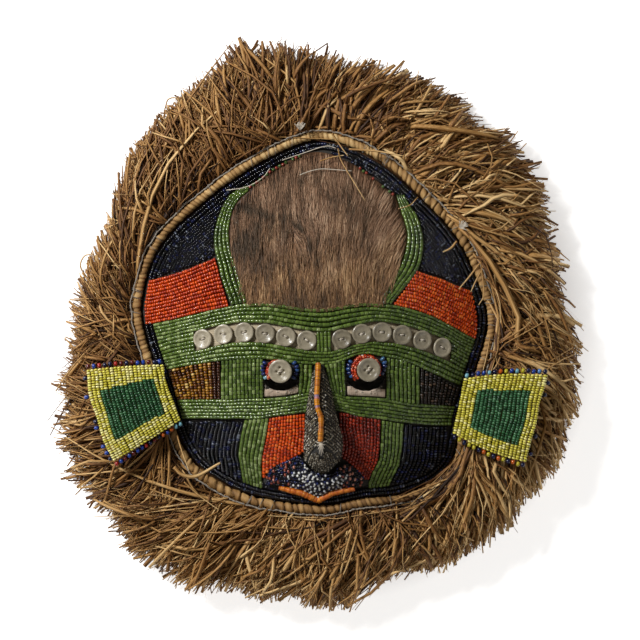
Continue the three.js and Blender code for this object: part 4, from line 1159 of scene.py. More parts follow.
def torn_strip(name, eye, left, right, corners, seed):
    """The cloth's torn lower lip. Its upper edge is the slit's half ellipse, which it leaves at its
    two corners, its lower edge is the line under the eye, and it puffs up a little in between."""
    x, down = np.linspace(left, right, 70)[:, None], np.linspace(0, 1, 9)[None, :]
    upper = slit_edge(x, eye, 0.6) + 0.3 + 0.4 * slow_field(x * 3, 0 * x, seed, 9)
    y = mix(np.minimum(upper, np.interp(x, [left, right], corners)), UNDER_EYE_TOP(x) + 0.9, down)
    puff = 0.9 + 0.7 * np.sin(np.pi * down) + 0.3 * slow_field(x, y, seed, 5)
    mesh_piece(name, *slab(over_face(x, y, puff), over_face(x, y, 0.3), False), frayed_cotton,
               "face_cloth")


frayed_cotton = cotton("frayed_cotton", "cbb9a6", "a8937f")
torn_strip("torn_cloth_left", EYES["left"], -38.6, -15.2, (-46.9, -44.6), 73)
torn_strip("torn_cloth_right", EYES["right"], 19.0, 45.4, (-44.6, -46.7), 74)
threads = []
t = np.linspace(0, 1, 6)[None, :]
for eye in EYES.values():
    r = np.random.default_rng(75)
    x = eye["slit"][0] + r.uniform(-11, 11, 26)
    y = slit_edge(x, eye, 0.6) - 0.4
    path_x = x[:, None] + r.normal(0, 1.0, (26, 1)) * t
    path_y = y[:, None] + r.uniform(-3.5, 0.8, (26, 1)) * t
    threads.append(over_face(path_x, path_y, 1.6 + 0.5 * np.sin(3 * t)))
thread_piece("frayed_threads", np.concatenate(threads), 0.13, white_thread, "face_cloth")

# %% Thread through the buttons
thread_piece("button_threads", np.concatenate(stitches), 0.3, white_thread, "mother_of_pearl")

# %% [markdown]
# ## Nose
# The nose is padded and covered with small grey glass beads lined with silver. Their strings leave
# the ridge on both sides and sweep down to the foot of the nose. At the tip they fan out from one
# spot, where pale threads run together, and meet again below. One thick string of ochre beads lies
# along the ridge.

# %% Nose beads
speckled_glass = bead_glass("grey_lined_beads", [
    (0.0, "0b0906"), (0.4, "211c14"), (0.62, "463e30"), (0.82, "766d5a"), (0.93, "b3ac9a"),
    (1.0, "efece2")], roughness=0.12, coat=0.0)
ochre_glass = bead_glass("ochre_ridge_beads", [
    (0.0, "8a4402"), (0.5, "ba6e02"), (0.85, "cc8404"), (0.92, "a86a70"), (1.0, "5a6a9a")],
    roughness=0.35, coat=0.0)
NOSE_FLANK = 0.38  # the share of the ridge's height that is left at the nose's sides
NOSE_TOP_Y, NOSE_END_Y, NOSE_TIP = -30, -106.6, (0.9, -85)


def on_nose(x, y, lift=0.0):
    """A point of the nose above x and y: the height falls from the ridge with the square of the way
    across. Its foot lies on the face."""
    across = np.clip((x - NOSE_MIDDLE(y)) / NOSE_HALF_WIDTH(y), -1, 1)
    crown = NOSE_RELIEF(y) * (1 - (1 - NOSE_FLANK) * across**2)
    return over_face(x, y, crown + lift)


# Past the flank, the strings go straight down to the cloth
whole = np.linspace(0, 1.3, 52)[None, :]
way, down = np.minimum(whole, 1), np.clip(whole - 1, 0, 1) / 0.3
start_y = np.arange(-31, -84, -1.2)[:, None]
nose_strings = []
for side in (-1, 1):
    drop = mix(5, 13, (start_y + 31) / -54)
    y = start_y - drop * way**1.5
    reach_across = NOSE_HALF_WIDTH(y) * 1.04
    x = mix(RIDGE_MIDDLE(start_y), NOSE_MIDDLE(y) + side * reach_across, way**0.9)
    nose_strings.append((x, y))
    turn = np.linspace(0.3, np.pi / 2 - 0.02, 17)[:, None]
    end_y = mix(-97.5, NOSE_END_Y, np.sin(turn) ** 3)
    end_x = NOSE_MIDDLE(end_y) + side * NOSE_HALF_WIDTH(end_y) * 1.03 * np.cos(turn) ** 0.5
    x = mix(NOSE_TIP[0], end_x, 1 - (1 - way) ** 1.5)
    y = mix(NOSE_TIP[1], end_y, way**1.25)
    nose_strings.append((x, y))
nose_rng = np.random.default_rng(81)
pieces = []
for x, y in nose_strings:
    paths = on_nose(x, y, -down * (NOSE_FLANK * NOSE_RELIEF(y) - 1))
    centre, along, room, number, _ = along_strings(paths, pitch_between(paths), 1.25)
    crowded = (room < 0.9) & (number % 2 == 1) | (room < 0.5)
    pieces.append([a[~crowded] for a in (centre, along, np.clip(room, 1.05, 1.6), number)])
centre, along, room, number = (np.concatenate(a) for a in zip(*pieces))
middle = np.stack([NOSE_MIDDLE(centre[:, 1]), centre[:, 1],
                   face_height(centre[:, 0], centre[:, 1]) - 2], -1)
up = unit(unit(centre - middle) + np.array([0, 0, 0.5]))
# Pale and dark strings take turns, not strictly: the pale ones are painted highlights along the
# rows and the dark ones painted shade between them, and the palest tints are painted white glints
n = len(centre)
pale = nose_rng.random(n) < np.where(number % 2 == 0, 0.85, 0.12)
tint = np.where(pale, nose_rng.uniform(0.62, 0.97, n), nose_rng.uniform(0, 0.45, n))
bead_piece("nose_beads", centre, along, up, room, speckled_glass, "grey_beads", nose_rng, ["nose"],
           tint, length=1.25, shape=ROUND_BEAD)

# %% The padding under the nose beads
y = np.linspace(NOSE_TOP_Y, NOSE_END_Y, 40)[:, None]
x = NOSE_MIDDLE(y) + np.linspace(-1, 1, 25)[None, :] * NOSE_HALF_WIDTH(y)
# The padding's dark colour, here and under the mouth, is painted shade for the gaps between the
# beads
dark_padding = cotton("dark_padding", "2b2924", "191815")
mesh_piece("nose_padding", *slab(on_nose(x, y, -0.9), over_face(x, y, 0.6), True), dark_padding,
           "grey_beads")

# %% Ochre ridge and pale threads at the tip
y = np.linspace(-28.5, -82.5, 60)
x = RIDGE_MIDDLE(y)
ridge_path = np.stack([x, y, face_height(x, y) + NOSE_RELIEF(y) * 1.03 + 1.7], -1)[None]
here, forward, _, _, share = along_strings(ridge_path, np.full((1, 60), 4.0), 1.5)
# Two short stretches of other beads, pink and blue, mend the string
patch = np.exp(-(((share - 0.43) / 0.05) ** 4)) + np.exp(-(((share - 0.55) / 0.03) ** 4))
ridge_rng = np.random.default_rng(91)
tint = ridge_rng.uniform(0, 0.8, len(here)) * (1 - patch)
tint = np.clip(tint + patch * ridge_rng.uniform(0.92, 1, len(here)), 0, 1)
bead_piece("nose_ridge_beads", here, forward, np.tile([0, 0, 1.0], (len(here), 1)),
           np.full(len(here), 3.8), ochre_glass, "ochre_beads", ridge_rng, ["nose_ridge"], tint,
           length=1.75)
# Twelve thread ends in a star, longer towards the mouth: their directions and reach
turn = np.array([0.5, 1.2, 1.75, 2.4, 2.9, 3.6, 4.1, 4.45, 4.7, 4.95, 5.3, 5.9])[:, None]
reach = np.array([3.5, 2.5, 3, 3.5, 5, 4, 5, 7.5, 8.5, 7, 4.5, 3])[:, None]
spread = np.linspace(0, 1, 8)[None, :]
tip_x = NOSE_TIP[0] + reach * spread * np.cos(turn) * 0.8
tip_y = NOSE_TIP[1] + 0.8 + reach * spread * np.sin(turn)
thread_piece("nose_tip_threads", on_nose(tip_x, tip_y, 1.1), np.linspace(0.5, 0.2, 8), white_thread,
             "grey_beads")

# %% [markdown]
# ## Mouth
# The mouth is a raised lozenge of very small beads sewn one by one. Dark blue ones edge it, salmon
# ones are scattered in its corners and white ones fill its middle. A close string of orange beads
# makes the lip below.

# %% Mouth beads
mouth_glass = bead_glass("mouth_seed_beads", [
    (0.0, "06070f"), (0.25, "0e1230"), (0.5, "1f2c64"), (0.6, "8c483a"), (0.72, "b87c6a"),
    (0.8, "c2c4c8"), (0.88, "e6e6e2")], roughness=0.16, steps="CONSTANT")
lip_glass = bead_glass("orange_lip_beads", [
    (0.0, "a84c0a"), (0.5, "c2620e"), (1.0, "d27e22")], roughness=0.4, joint=(0.7, 0.66, 0.6, 1))
MOUTH_LEFT, MOUTH_RIGHT = -39.6, 34.2
LIP_FOLD = lambda x: np.interp(
    x, [-39, -28.1, -20.3, -11.9, -6.3, -1.5, 3.2, 7.7, 16.1, 22.8, 34],
    [-113.9, -116.4, -118.1, -120.3, -122.7, -125.2, -122.9, -120.3, -118.2, -117.3, -114.8])


def mouth_relief(along, across):
    """Highest in the middle: a power of the way to the corners times a power of a sine across. The
    middle climbs against the nose, so there the sine starts at half its way."""
    side = np.clip(np.abs(2 * along - 1), 0, 1)
    climb = 0.3 * np.exp(-((side / 0.4) ** 4))
    rise = np.sin(np.pi * np.clip(mix(climb, 1, across), 0.001, 0.999))
    return 0.6 + 5.8 * (1 - side**1.6) * rise**0.7


mouth_rng = np.random.default_rng(101)
strings = 11
across = (np.arange(strings)[:, None] + 0.15) / (strings - 0.2)
x = np.linspace(MOUTH_LEFT, MOUTH_RIGHT, 90)[None, :] + 0 * across
y = mix(MOUTH_TOP(x) + 0.9 + 2.2 * np.exp(-((x / 11) ** 2)), LIP_FOLD(x) + 1.6, across)
along_share = (x - MOUTH_LEFT) / (MOUTH_RIGHT - MOUTH_LEFT)
mouth_paths = over_face(x, y, 1.9 + mouth_relief(along_share, across))
centre, along, room, number, share = along_strings(mouth_paths, pitch_between(mouth_paths), 1.75)
crowded = (room < 1.3) & (number % 2 == 1) | (room < 0.65)
centre, along, room, number, share = (a[~crowded] for a in (centre, along, room, number, share))
from_middle = np.abs(centre[:, 0] + 1)
white_part = np.clip((23 - from_middle) / 7, 0, 1) * ((number > 3) | (from_middle < 10))
salmon_part = np.clip((from_middle - 14) / 6, 0, 1) * (number > 0)
# Every other bead may be white or salmon, so that they stay apart
chance = mouth_rng.random(len(centre))
other = (np.arange(len(centre)) + number) % 2 == 0
tint = mouth_rng.uniform(0, 0.58, len(centre))
for picked, low, high in ((chance < 0.66 * white_part, 0.8, 1),
                          (chance > 1 - 0.42 * salmon_part, 0.6, 0.8)):
    tint = np.where(other & picked, mouth_rng.uniform(low, high, len(centre)), tint)
up = face_normal(centre[:, 0], centre[:, 1])
centre = centre + mouth_rng.normal(0, 0.22, centre.shape)
salmon = (tint > 0.59) & (tint < 0.8)  # the salmon beads are a size larger and stand out
room = np.where(salmon, 2.5, np.where(tint >= 0.8, 2.0, np.clip(room, 1.4, 1.9)))
bead_piece("mouth_beads", centre + up * 0.35 * salmon[:, None], along, up, room, mouth_glass,
           "mouth_beads", mouth_rng, ["mouth"], tint, length=1.75, shape=ROUND_BEAD)

# %% The padding under the mouth beads
across = np.linspace(0, 1, 13)[None, :]
x = np.linspace(MOUTH_LEFT, MOUTH_RIGHT, 50)[:, None] + 0 * across
y = mix(MOUTH_TOP(x) + 1, LIP_FOLD(x) + 0.4, across)
skin = over_face(x, y, 1.0 + mouth_relief((x - MOUTH_LEFT) / (MOUTH_RIGHT - MOUTH_LEFT), across))
mesh_piece("mouth_padding", *slab(skin, over_face(x, y, 0.6), False), dark_padding, "mouth_beads")

# %% The lip and the strings below it
x = np.linspace(-28.6, 24.2, 60)
lip_path = over_face(x, LIP_FOLD(x), 4.6)[None]
here, forward, _, _, _ = along_strings(lip_path, np.full((1, 60), 3.0), 1.2)
thick = 4.2 - 1.5 * np.abs((here[:, 0] + 2.2) / 26.4) ** 4
bead_piece("lip_beads", here, forward, face_normal(here[:, 0], here[:, 1]), thick * 1.08,
           lip_glass, "lip_beads", np.random.default_rng(102), ["lower_lip"], length=1.6)

# Three more dark strings close the face below the lip and beside the mouth
x = np.linspace(-44, 40, 90)[None, :]
past_lip = np.clip((np.abs(x + 2.2) - 25) / 4, 0, 1)
y = mix(LIP_FOLD(x) - 1.9 + 2.6 * past_lip, band_y(x) + 0.9, np.linspace(0, 1, 4)[:, None])
bead_field("mouth_hem", (x + 0 * y, y), navy_glass, 103,
           lambda x, y: (inside_edge(x, y) > EDGE_BAND + 0.4) & (
               y < LIP_FOLD(x) - 1.2 + 3.0 * (np.abs(x + 2.2) > 27)))

# %% [markdown]
# ## The back of the cloth
# A string is sewn down by a thread that comes up beside it, crosses it and goes down again, so the
# inside of the mask shows rows of short stitches. They follow the strings that were laid above.
# Each is a thin square tube that dips into the cloth at both ends.

# %% Stitches behind the cloth
seam = np.concatenate(sewn)
hang = np.array([0.3, -0.5, 0.3]) - CLOTH
seam[..., 2] = face_height(seam[..., 0], seam[..., 1]) + hang
thread_piece("back_stitches", seam, 0.45, white_thread, "face_cloth",
             [[1, 0], [0, 1], [-1, 0], [0, -1]])

# %% [markdown]
# ## Ears
# The ears are flat pads, stuffed and sewn shut, then covered with strings of yellow beads round a
# field of deep green ones. Single beads in other colours stand along the seam. The pad is a closed
# form with a crowned top. The strings run from top to bottom on it.

# %% The form of an ear
EARS = {
    "left": np.array([[-164, -32.9], [-109.7, -29.4], [-96.9, -68.6], [-144.7, -97.9]]),
    "right": np.array([[158.6, -36.5], [100.7, -39.5], [92.9, -77.9], [143.6, -98.6]]),
}
EAR_RIM, EAR_CROWN = 2.6, 4.6
# Millimetres by which the outer and the inner side bow in x, the top and the bottom in y
EAR_BOWS = [(-3.0, -1.6, 0.6, -0.6), (0.8, 0.0, 1.9, -2.6)]


def ear_height(x):
    """The underside rises a little from the rim of the face to the far end."""
    return mix(41.6, 44.5, (np.abs(x) - 97) / 60)


def fullness(across, down):
    """How full the pad is: the fourth root of 16 across (1 - across) down (1 - down)."""
    return np.clip(16 * across * (1 - across) * down * (1 - down), 0, 1) ** 0.25


def on_ear(corners, across, down, lift):
    """A point on an ear: the mix of its corners with each side bowed by a few millimetres, at its
    underside plus the rim, the crown times its fullness there, and lift."""
    outer_top, inner_top, inner_bottom, outer_bottom = corners
    across, down = np.asarray(across), np.asarray(down)
    a, d = across[..., None], down[..., None]
    plan = mix(mix(outer_top, inner_top, a), mix(outer_bottom, inner_bottom, a), d)
    outer_bow, inner_bow, top_bow, bottom_bow = EAR_BOWS[int(corners[0, 0] > 0)]
    wave = 0.5 * np.sin(13 * down + 1) * (1 - across)
    plan = plan + np.stack([mix(outer_bow, inner_bow, across) * np.sin(np.pi * down) + wave,
                            mix(top_bow, bottom_bow, down) * np.sin(np.pi * across)], -1)
    height = ear_height(plan[..., 0]) + EAR_RIM + EAR_CROWN * fullness(across, down) + lift
    return np.concatenate([plan, height[..., None]], -1)


print("an ear is", EAR_RIM + EAR_CROWN, "mm thick in its middle")

# %% Swelling the pads


def swell(pad, most):
    """Blender's cloth swells the pad from inside with a light pressure and no gravity. Each point
    then moves at most so many millimetres: its way times the smaller of 1 and most / way."""
    remesh = pad.modifiers.new("remesh", "REMESH")
    remesh.mode, remesh.voxel_size = "VOXEL", 4 * MM
    mesh = with_modifiers(pad)
    mesh.name = pad.name
    cloth = pad.modifiers.new("cloth", "CLOTH")
    cloth.settings.use_pressure, cloth.settings.uniform_pressure_force = True, 4.0
    cloth.settings.effector_weights.gravity = 0
    before = np.empty(len(mesh.vertices) * 3)
    mesh.vertices.foreach_get("co", before)
    for frame in range(1, 21):
        bpy.context.scene.frame_set(frame)
    after = np.empty_like(before)
    evaluated = pad.evaluated_get(bpy.context.evaluated_depsgraph_get())
    evaluated.data.vertices.foreach_get("co", after)
    pad.modifiers.clear()
    bpy.context.scene.frame_set(1)
    way = (after - before).reshape(-1, 3)
    far = np.linalg.norm(way, axis=1, keepdims=True)
    way = way * np.minimum(1, most * MM / np.maximum(far, 1e-9))
    mesh.vertices.foreach_set("co", (before.reshape(-1, 3) + way).ravel())
    mesh.polygons.foreach_set("use_smooth", np.ones(len(mesh.polygons), bool))
    mesh.update()
    finer = pad.modifiers.new("finer", "SUBSURF")
    finer.levels = finer.render_levels = 1
    print(f"{pad.name}: swollen by {1000 * far.mean():.2f} mm before the cap")


pad_cotton = cotton("ear_lining", "8e7a44", "5f5026")
for side, corners in EARS.items():
    way = 0.5 - 0.5 * np.cos(np.linspace(0.12, np.pi - 0.12, 34))
    across, down = np.meshgrid(way, way)
    top = on_ear(corners, across, down, -1.6)
    bottom = top.copy()
    bottom[..., 2] = ear_height(top[..., 0]) + 1.4 * (1 - fullness(across, down)) + 0.2
    n = across.shape[0]
    rim = np.concatenate([np.arange(n), np.arange(1, n) * n + n - 1,
                          np.arange(n * n - 2, n * n - n - 1, -1), np.arange(n * n - 2 * n, 0, -n)])
    wall = np.stack([rim, np.roll(rim, -1), np.roll(rim, -1) + n * n, rim + n * n], 1)
    skin = grid_faces(n, n)
    faces = [skin[:, ::-1], skin + n * n, wall]
    if side == "right":  # there, across runs the other way
        faces = [f[:, ::-1] for f in faces]
    pad = mesh_piece(f"ear_pad_{side}", np.concatenate([top, bottom]), faces, pad_cotton,
                     "yellow_beads")
    swell(pad, 1.0)

# %% Beads on the ears
seam_glass = bead_glass("mixed_seam_beads", [
    (0.0, "0b1038"), (0.13, "1c3a90"), (0.26, "4a79b8"), (0.39, "6fa6b8"), (0.52, "55100c"),
    (0.65, "9c2016"), (0.78, "bd5a18"), (0.91, "b8ab2c")], steps="CONSTANT")
# The seam's beads in order: navy, blue, light blue, turquoise, maroon, red, orange, yellow, or
# none. The first line is the top, from the outer corner, then comes the outer side, and the last
# is the bottom, towards the face
SEAM_TINT = {c: 0.07 + 0.13 * i for i, c in enumerate("nbltmroy")}
SEAMS = {
    "left": ("mbrnnrmnmbbmnb", " n  b   nb  bbn", "rbmbmbbrnmnobott"),
    "right": ("nlbnytbyontbbnt", " n n      n  n ", "nyonyonyonyynyn"),
}
# Share across where the green centre starts and ends, then down: its top and its bottom at the
# outer and at the inner side
CENTRES = {"left": (0.17, 0.83, 0.26, 0.2, 0.81, 0.76),
           "right": (0.16, 0.82, 0.21, 0.2, 0.84, 0.79)}
strings = 20
for side, corners in EARS.items():
    r = np.random.default_rng(111 if side == "left" else 112)
    across = (np.arange(strings)[:, None] + 0.5) / strings + np.zeros((1, SAMPLES))
    across = across + 0.004 * r.normal(0, 1, (strings, 1)) * np.sin(
        np.linspace(0, 9, SAMPLES)[None, :] + r.uniform(0, 6, (strings, 1)))
    down = np.linspace(0.01, 0.99, SAMPLES)[None, :] + np.zeros((strings, 1))
    paths = on_ear(corners, across, down, 0.5)
    centre, along, room, number, share = along_strings(paths, pitch_between(paths), 1.7)
    way = (number + 0.5) / strings
    first, last, *downs = CENTRES[side]
    top, bottom = mix(downs[0], downs[1], way), mix(downs[2], downs[3], way)
    inner = (way > first) & (way < last) & (share > top) & (share < bottom)
    # A bead stands square to the pad, whose slope across is taken over a small step to each side
    before, after = (np.clip(np.clip(way, 0.02, 0.98) + step, 0, 1) for step in (-0.02, 0.02))
    slope = on_ear(corners, after, share, 0) - on_ear(corners, before, share, 0)
    up = unit(np.cross(slope, along))
    up = up * np.where(up[:, 2:] < 0, -1, 1)
    room = np.clip(room, 2.3, 3.3)
    for label, pick, material, slot, node in (
        ("yellow", ~inner, yellow_glass, "yellow_beads", f"ear_{side}"),
        ("green", inner, ear_green_glass, "ear_green_beads", f"ear_centre_{side}"),
    ):
        # The yellow beads of the left ear are painted brighter than the right's, and the green ones
        # shifted half as far the other way: painted light from the left
        painted_light_by_ear = {"left": 0.3, "right": 0.1}[side] * (1 if label == "yellow" else -0.5)
        tint = np.clip(r.random(pick.sum()) + painted_light_by_ear, 0, 1)
        bead_piece(f"ear_{label}_beads_{side}", centre[pick], along[pick], up[pick], room[pick],
                   material, slot, r, [node], tint, length=1.75, shape=ROUND_BEAD)
    edges, outwards, tints = [], [], []
    for edge, colours in enumerate(SEAMS[side]):
        here = [i for i, c in enumerate(colours) if c != " "]
        way = (np.array(here) + 0.5) / len(colours)
        flat = np.zeros(len(way))
        edges.append([(way, flat), (flat, way), (way, flat + 1)][edge])
        a, b = ((0, 3), (0, 1), (3, 0))[edge]
        outwards.append(np.tile(unit(corners[a] - corners[b])[None], (len(way), 1)))
        tints.append([SEAM_TINT[colours[i]] for i in here])
    across, down = (np.concatenate(a) for a in zip(*edges))
    outward = np.concatenate(outwards)
    seam = on_ear(corners, across, down, 0.3)
    seam[:, :2] += outward * r.uniform(1.3, 2.0, (len(seam), 1))
    forward = np.column_stack([-outward[:, 1], outward[:, 0], np.zeros(len(seam))])
    bead_piece(f"ear_seam_beads_{side}", seam, forward, np.tile([0, 0, 1.0], (len(seam), 1)),
               np.full(len(seam), 3.7), seam_glass, "blue_beads", r, tint=np.concatenate(tints),
               length=3.0, shape=ROUND_BEAD)

# %% [markdown]
# ## Fur
# A patch of hide is sewn to the forehead with its short hair lying downward. The hide itself is a
# plain surface. On it lie thousands of fine tapered hairs that follow one flow, with slow changes
# of colour over the patch and quick ones from lock to lock.

# %% Hair


def hair_tones(name, grey_stops, brown_stops):
    """Animal hair: grey-brown above and golden brown below, from lock to lock, with paler tips."""
    material, tree = empty_material(name)
    tint, tip, warm = (add_node(tree, "Attribute", {"attribute_name": n}).outputs["Fac"]
                       for n in ("tint", "tip", "warm"))
    grey, brown = (add_node(tree, "ValToRGB", {"stops": stops}, {"Fac": tint})
                   for stops in (grey_stops, brown_stops))
    tone = add_node(tree, "Mix", {"data_type": "RGBA"}, {
        0: warm, 6: grey, 7: brown})
    pale = add_node(tree, "Mix", {"data_type": "RGBA"}, {
        0: add_node(tree, "Math", {"operation": "MULTIPLY"}, {0: tip, 1: 0.3}),
        6: tone.outputs[2], 7: linear("c8ab8a")})
    shader = add_node(tree, "BsdfPrincipled", inputs={
        "Base Color": pale.outputs[2], "Roughness": 0.5, "Specular IOR Level": 0.4})
    add_node(tree, "OutputMaterial", inputs={"Surface": shader})
    return material


fur_hair = hair_tones("brown_grey_hair", [
    (0.0, "1f130a"), (0.25, "4d3626"), (0.55, "86634a"), (0.8, "ab876b"), (1.0, "ccad90")], [
    (0.0, "211307"), (0.25, "50351e"), (0.55, "8a633e"), (0.8, "ae8458"), (1.0, "ceaa7c")])
print("made", fur_hair.name)

# %% Places, locks and marks of the hair
fur_rng = np.random.default_rng(121)


def in_fur(x, y):
    """True on the patch of fur."""
    return (x > FUR_LEFT(y) + 0.8) & (x < FUR_RIGHT(y) - 0.8) & (y > BROW_TOP(x) + 1) & (
        y < FUR_TOP(x) - 0.5)


spot = fur_rng.uniform([-68, 12, 0], [66, 121, 0], (30000, 3))
spot = spot[in_fur(spot[:, 0], spot[:, 1])]
lock = fur_rng.uniform([-68, 20], [66, 124], (900, 2))
lock_tone = fur_rng.normal(0, 0.14, 900)
# The first mark is painted shade for a fold in the hide and the fifth is painted shade in the
# hair's parting
BLOTCHES = [  # shade, x, y, half width, half height, fall to the right of marks in the fur
    (-0.5, -45, 77, 14, 3.2, 0.3), (-0.25, -50, 55, 12, 8, 0), (0.3, -9, 66, 4, 7, 0),
    (0.3, 48, 56, 12, 24, 0.2), (-0.7, -15, 66, 4.5, 1.6, 0.7), (-0.08, -25, 45, 60, 9, 0),
    (-0.26, -50, 60, 12, 40, 0), (-0.4, -60, 43, 2.5, 2.5, 0), (0.16, 10, 35, 40, 12, 0)]


def fur_marks(x, y):
    """The sum of the marks: each falls off with the fourth power of the distance in its size."""
    return sum(shade * np.exp(-(((x - a) / w) ** 4) - (((y - b + fall * (x - a)) / h) ** 4))
               for shade, a, b, w, h, fall in BLOTCHES)


print(len(spot), "places for hairs")

# %% The hairs
HAIR_PARTS = {"forehead_hair": ["forehead_fur"], "forehead_hair_over": []}
for part, (name, node) in enumerate(HAIR_PARTS.items()):
    hx, hy = spot[part * 6500:(part + 1) * 6500, :2].T
    lean = 0.04 + 0.22 * slow_field(hx, hy, 5, 60) - 0.6 * np.clip((hx - 8) / 45, 0, 1) * np.clip(
        (hy - 15) / 50, 0, 1) + fur_rng.normal(0, 0.08, len(hx))
    # Hair parts to both sides of a short seam in the hide
    parting = np.exp(-(((hx + 18.5) / 5) ** 2) - (((hy - 65) / 7) ** 2))
    lean = lean + 0.7 * parting * np.sign(hx + 18.5)
    heading = unit(np.stack([lean, -np.ones_like(lean)], -1))
    # Each hair leans to the nearest lock, which is long down the hide
    far = np.hypot(hx[:, None] - lock[None, :, 0], 0.3 * (hy[:, None] - lock[None, :, 1]))
    nearest = far.argmin(1)
    gather = 0.75 * (lock[nearest, 0] - hx)[:, None]
    length = fur_rng.uniform(8, 15, len(hx)) * (1 - 0.45 * parting)
    t = np.linspace(0, 1, 5)[None, :]
    bend = fur_rng.normal(0, 0.07, len(hx))[:, None]
    way = length[:, None] * t
    px = hx[:, None] + heading[:, :1] * way + bend * way * t + gather * t**1.5
    py = hy[:, None] + heading[:, 1:] * way
    py = np.maximum(py, BROW_TOP(px) - 3.0 * fur_rng.random((len(hx), 1)) ** 2)
    lift = 1.2 + fur_rng.uniform(1.2, 3.4, len(hx))[:, None] * t**0.8 - 0.6 * t**3
    hairs = over_face(px, py, np.maximum(lift, 1.2 + 1.6 * (py < BROW_TOP(px) + 1)))
    thick = fur_rng.uniform(0.17, 0.28, len(hx))[:, None] * (1 - 0.8 * t**2)
    points, faces = tubes(hairs, thick, thick, [[-1, -0.5], [1, -0.5], [0, 0.9]])
    hue = 0.56 + 0.3 * slow_field(hx, hy * 2.2, 6, 40) + 0.24 * slow_field(
        hx * 3, hy * 0.5, 7, 24) + lock_tone[nearest] + fur_rng.normal(0, 0.16, len(hx))
    hue = np.clip(hue[:, None] + fur_marks(px, py), 0, 1)
    warm = np.clip((70 - py + 26 * slow_field(px, py, 9, 30)) / 45, 0, 1)
    mesh_piece(name, points, faces, fur_hair, "fur", node, {
        "tint": hue[..., None], "tip": t.T**2, "warm": warm[..., None]})

# %% The hide under the hair
across, down = np.linspace(0, 1, 60)[None, :], np.linspace(0, 1, 50)[:, None]
top, bottom = FUR_TOP(mix(-50.0, 53.5, across)), BROW_TOP(mix(-50.5, 40.3, across))
y = mix(top - 0.6, bottom + 0.6, down)
x = mix(FUR_LEFT(y), FUR_RIGHT(y), across)
y = np.minimum(y, FUR_TOP(x) - 0.6)
hide = over_face(x, y, 1.2 + 0.3 * slow_field(x, y, 8, 10))
points, faces = slab(hide, over_face(x, y, 0.4), True)
hue = np.clip(0.22 + 0.2 * slow_field(points[..., 0], points[..., 1], 6, 30), 0, 1)
mesh_piece("hide", points, faces, fur_hair, "fur", (), {"tint": hue, "tip": 0, "warm": 0.5})

# %% Small beads along the top of the fur
x = np.concatenate([np.arange(-49, -14, 2.3), np.arange(28, 53, 2.3)])
red = np.arange(len(x)) % 2 == 0
pick = fur_rng.random(len(x)) < 0.9
x, red = x[pick], red[pick]
here = over_face(x, FUR_TOP(x) - 1.0 + fur_rng.normal(0, 0.3, len(x)), 2.4)
forward = unit(np.column_stack([np.ones(len(x)), np.gradient(FUR_TOP(x), x), 0 * x]))
trim_glass = bead_glass("small_red_and_green_beads", [
    (0.0, "4c6a30"), (0.5, "8c3222")], steps="CONSTANT", roughness=0.3)
bead_piece("fur_edge_beads", here, forward, face_normal(here[:, 0], here[:, 1]),
           np.full(len(x), 2.2), trim_glass, "orange_beads", fur_rng, tint=red * 1.0, length=2.0,
           shape=ROUND_BEAD)

# %% [markdown]
# ## Raffia
# Raffia is the skin of a palm leaf, stripped and dried: thin blades, folded along the middle, tan
# with paler and darker streaks along their length. The coil of the rim is a bundle of it, bound
# round with more. The ruff is thousands of cut blades caught under the coil.

# %% Raffia finishes


def dry_raffia(name, stops):
    """Dried palm leaf: matt with a slight waxy sheen. A noise drawn out along the blade gives the
    leaf's fibres, and each blade has its own tone, which rises along the blade: paler towards its
    cut tip, and darker at the root, partly as painted shade near the coil."""
    material, tree = empty_material(name)
    tint, along, across = (
        add_node(tree, "Attribute", {"attribute_name": n}).outputs["Fac"]
        for n in ("tint", "along", "across"))
    leaf = add_node(tree, "CombineXYZ", inputs={0: along, 1: across, 2: tint})
    stretched = add_node(tree, "VectorMath", {"operation": "MULTIPLY"}, {
        0: leaf, 1: (4.0, 7.0, 90.0)})
    fibres = add_node(tree, "TexNoise", inputs={
        "Vector": stretched, "Scale": 1.0, "Detail": 3.0, "Roughness": 0.6})
    shade = add_node(tree, "Math", {"operation": "MULTIPLY_ADD"}, {
        0: fibres.outputs["Fac"], 1: 0.95, 2: -0.57})
    # The tone rises along the blade: the darker root is partly painted shade
    painted_light_slope = add_node(tree, "Math", {"operation": "MULTIPLY_ADD"}, {
        0: along, 1: 0.36, 2: shade})
    tone = add_node(tree, "Math", {"operation": "ADD"}, {0: tint, 1: painted_light_slope})
    colour = add_node(tree, "ValToRGB", {"stops": stops}, {"Fac": tone})
    bump = add_node(tree, "Bump", inputs={
        "Height": fibres.outputs["Fac"], "Strength": 0.6, "Distance": 0.0004})
    shader = add_node(tree, "BsdfPrincipled", inputs={
        "Base Color": colour, "Roughness": 0.62, "Specular IOR Level": 0.35,
        "Normal": bump})
    add_node(tree, "OutputMaterial", inputs={"Surface": shader})
    return material


ruff_raffia = dry_raffia("ruff_raffia", [
    (0.0, "1a0d04"), (0.18, "482a10"), (0.42, "80562a"), (0.7, "b2864c"), (1.0, "e2bf86")])
coil_raffia = dry_raffia("coil_raffia", [
    (0.0, "1e1006"), (0.22, "573a1b"), (0.5, "8f6a3c"), (0.8, "b8925c"), (1.0, "dcbd86")])
print("raffia finishes ready")

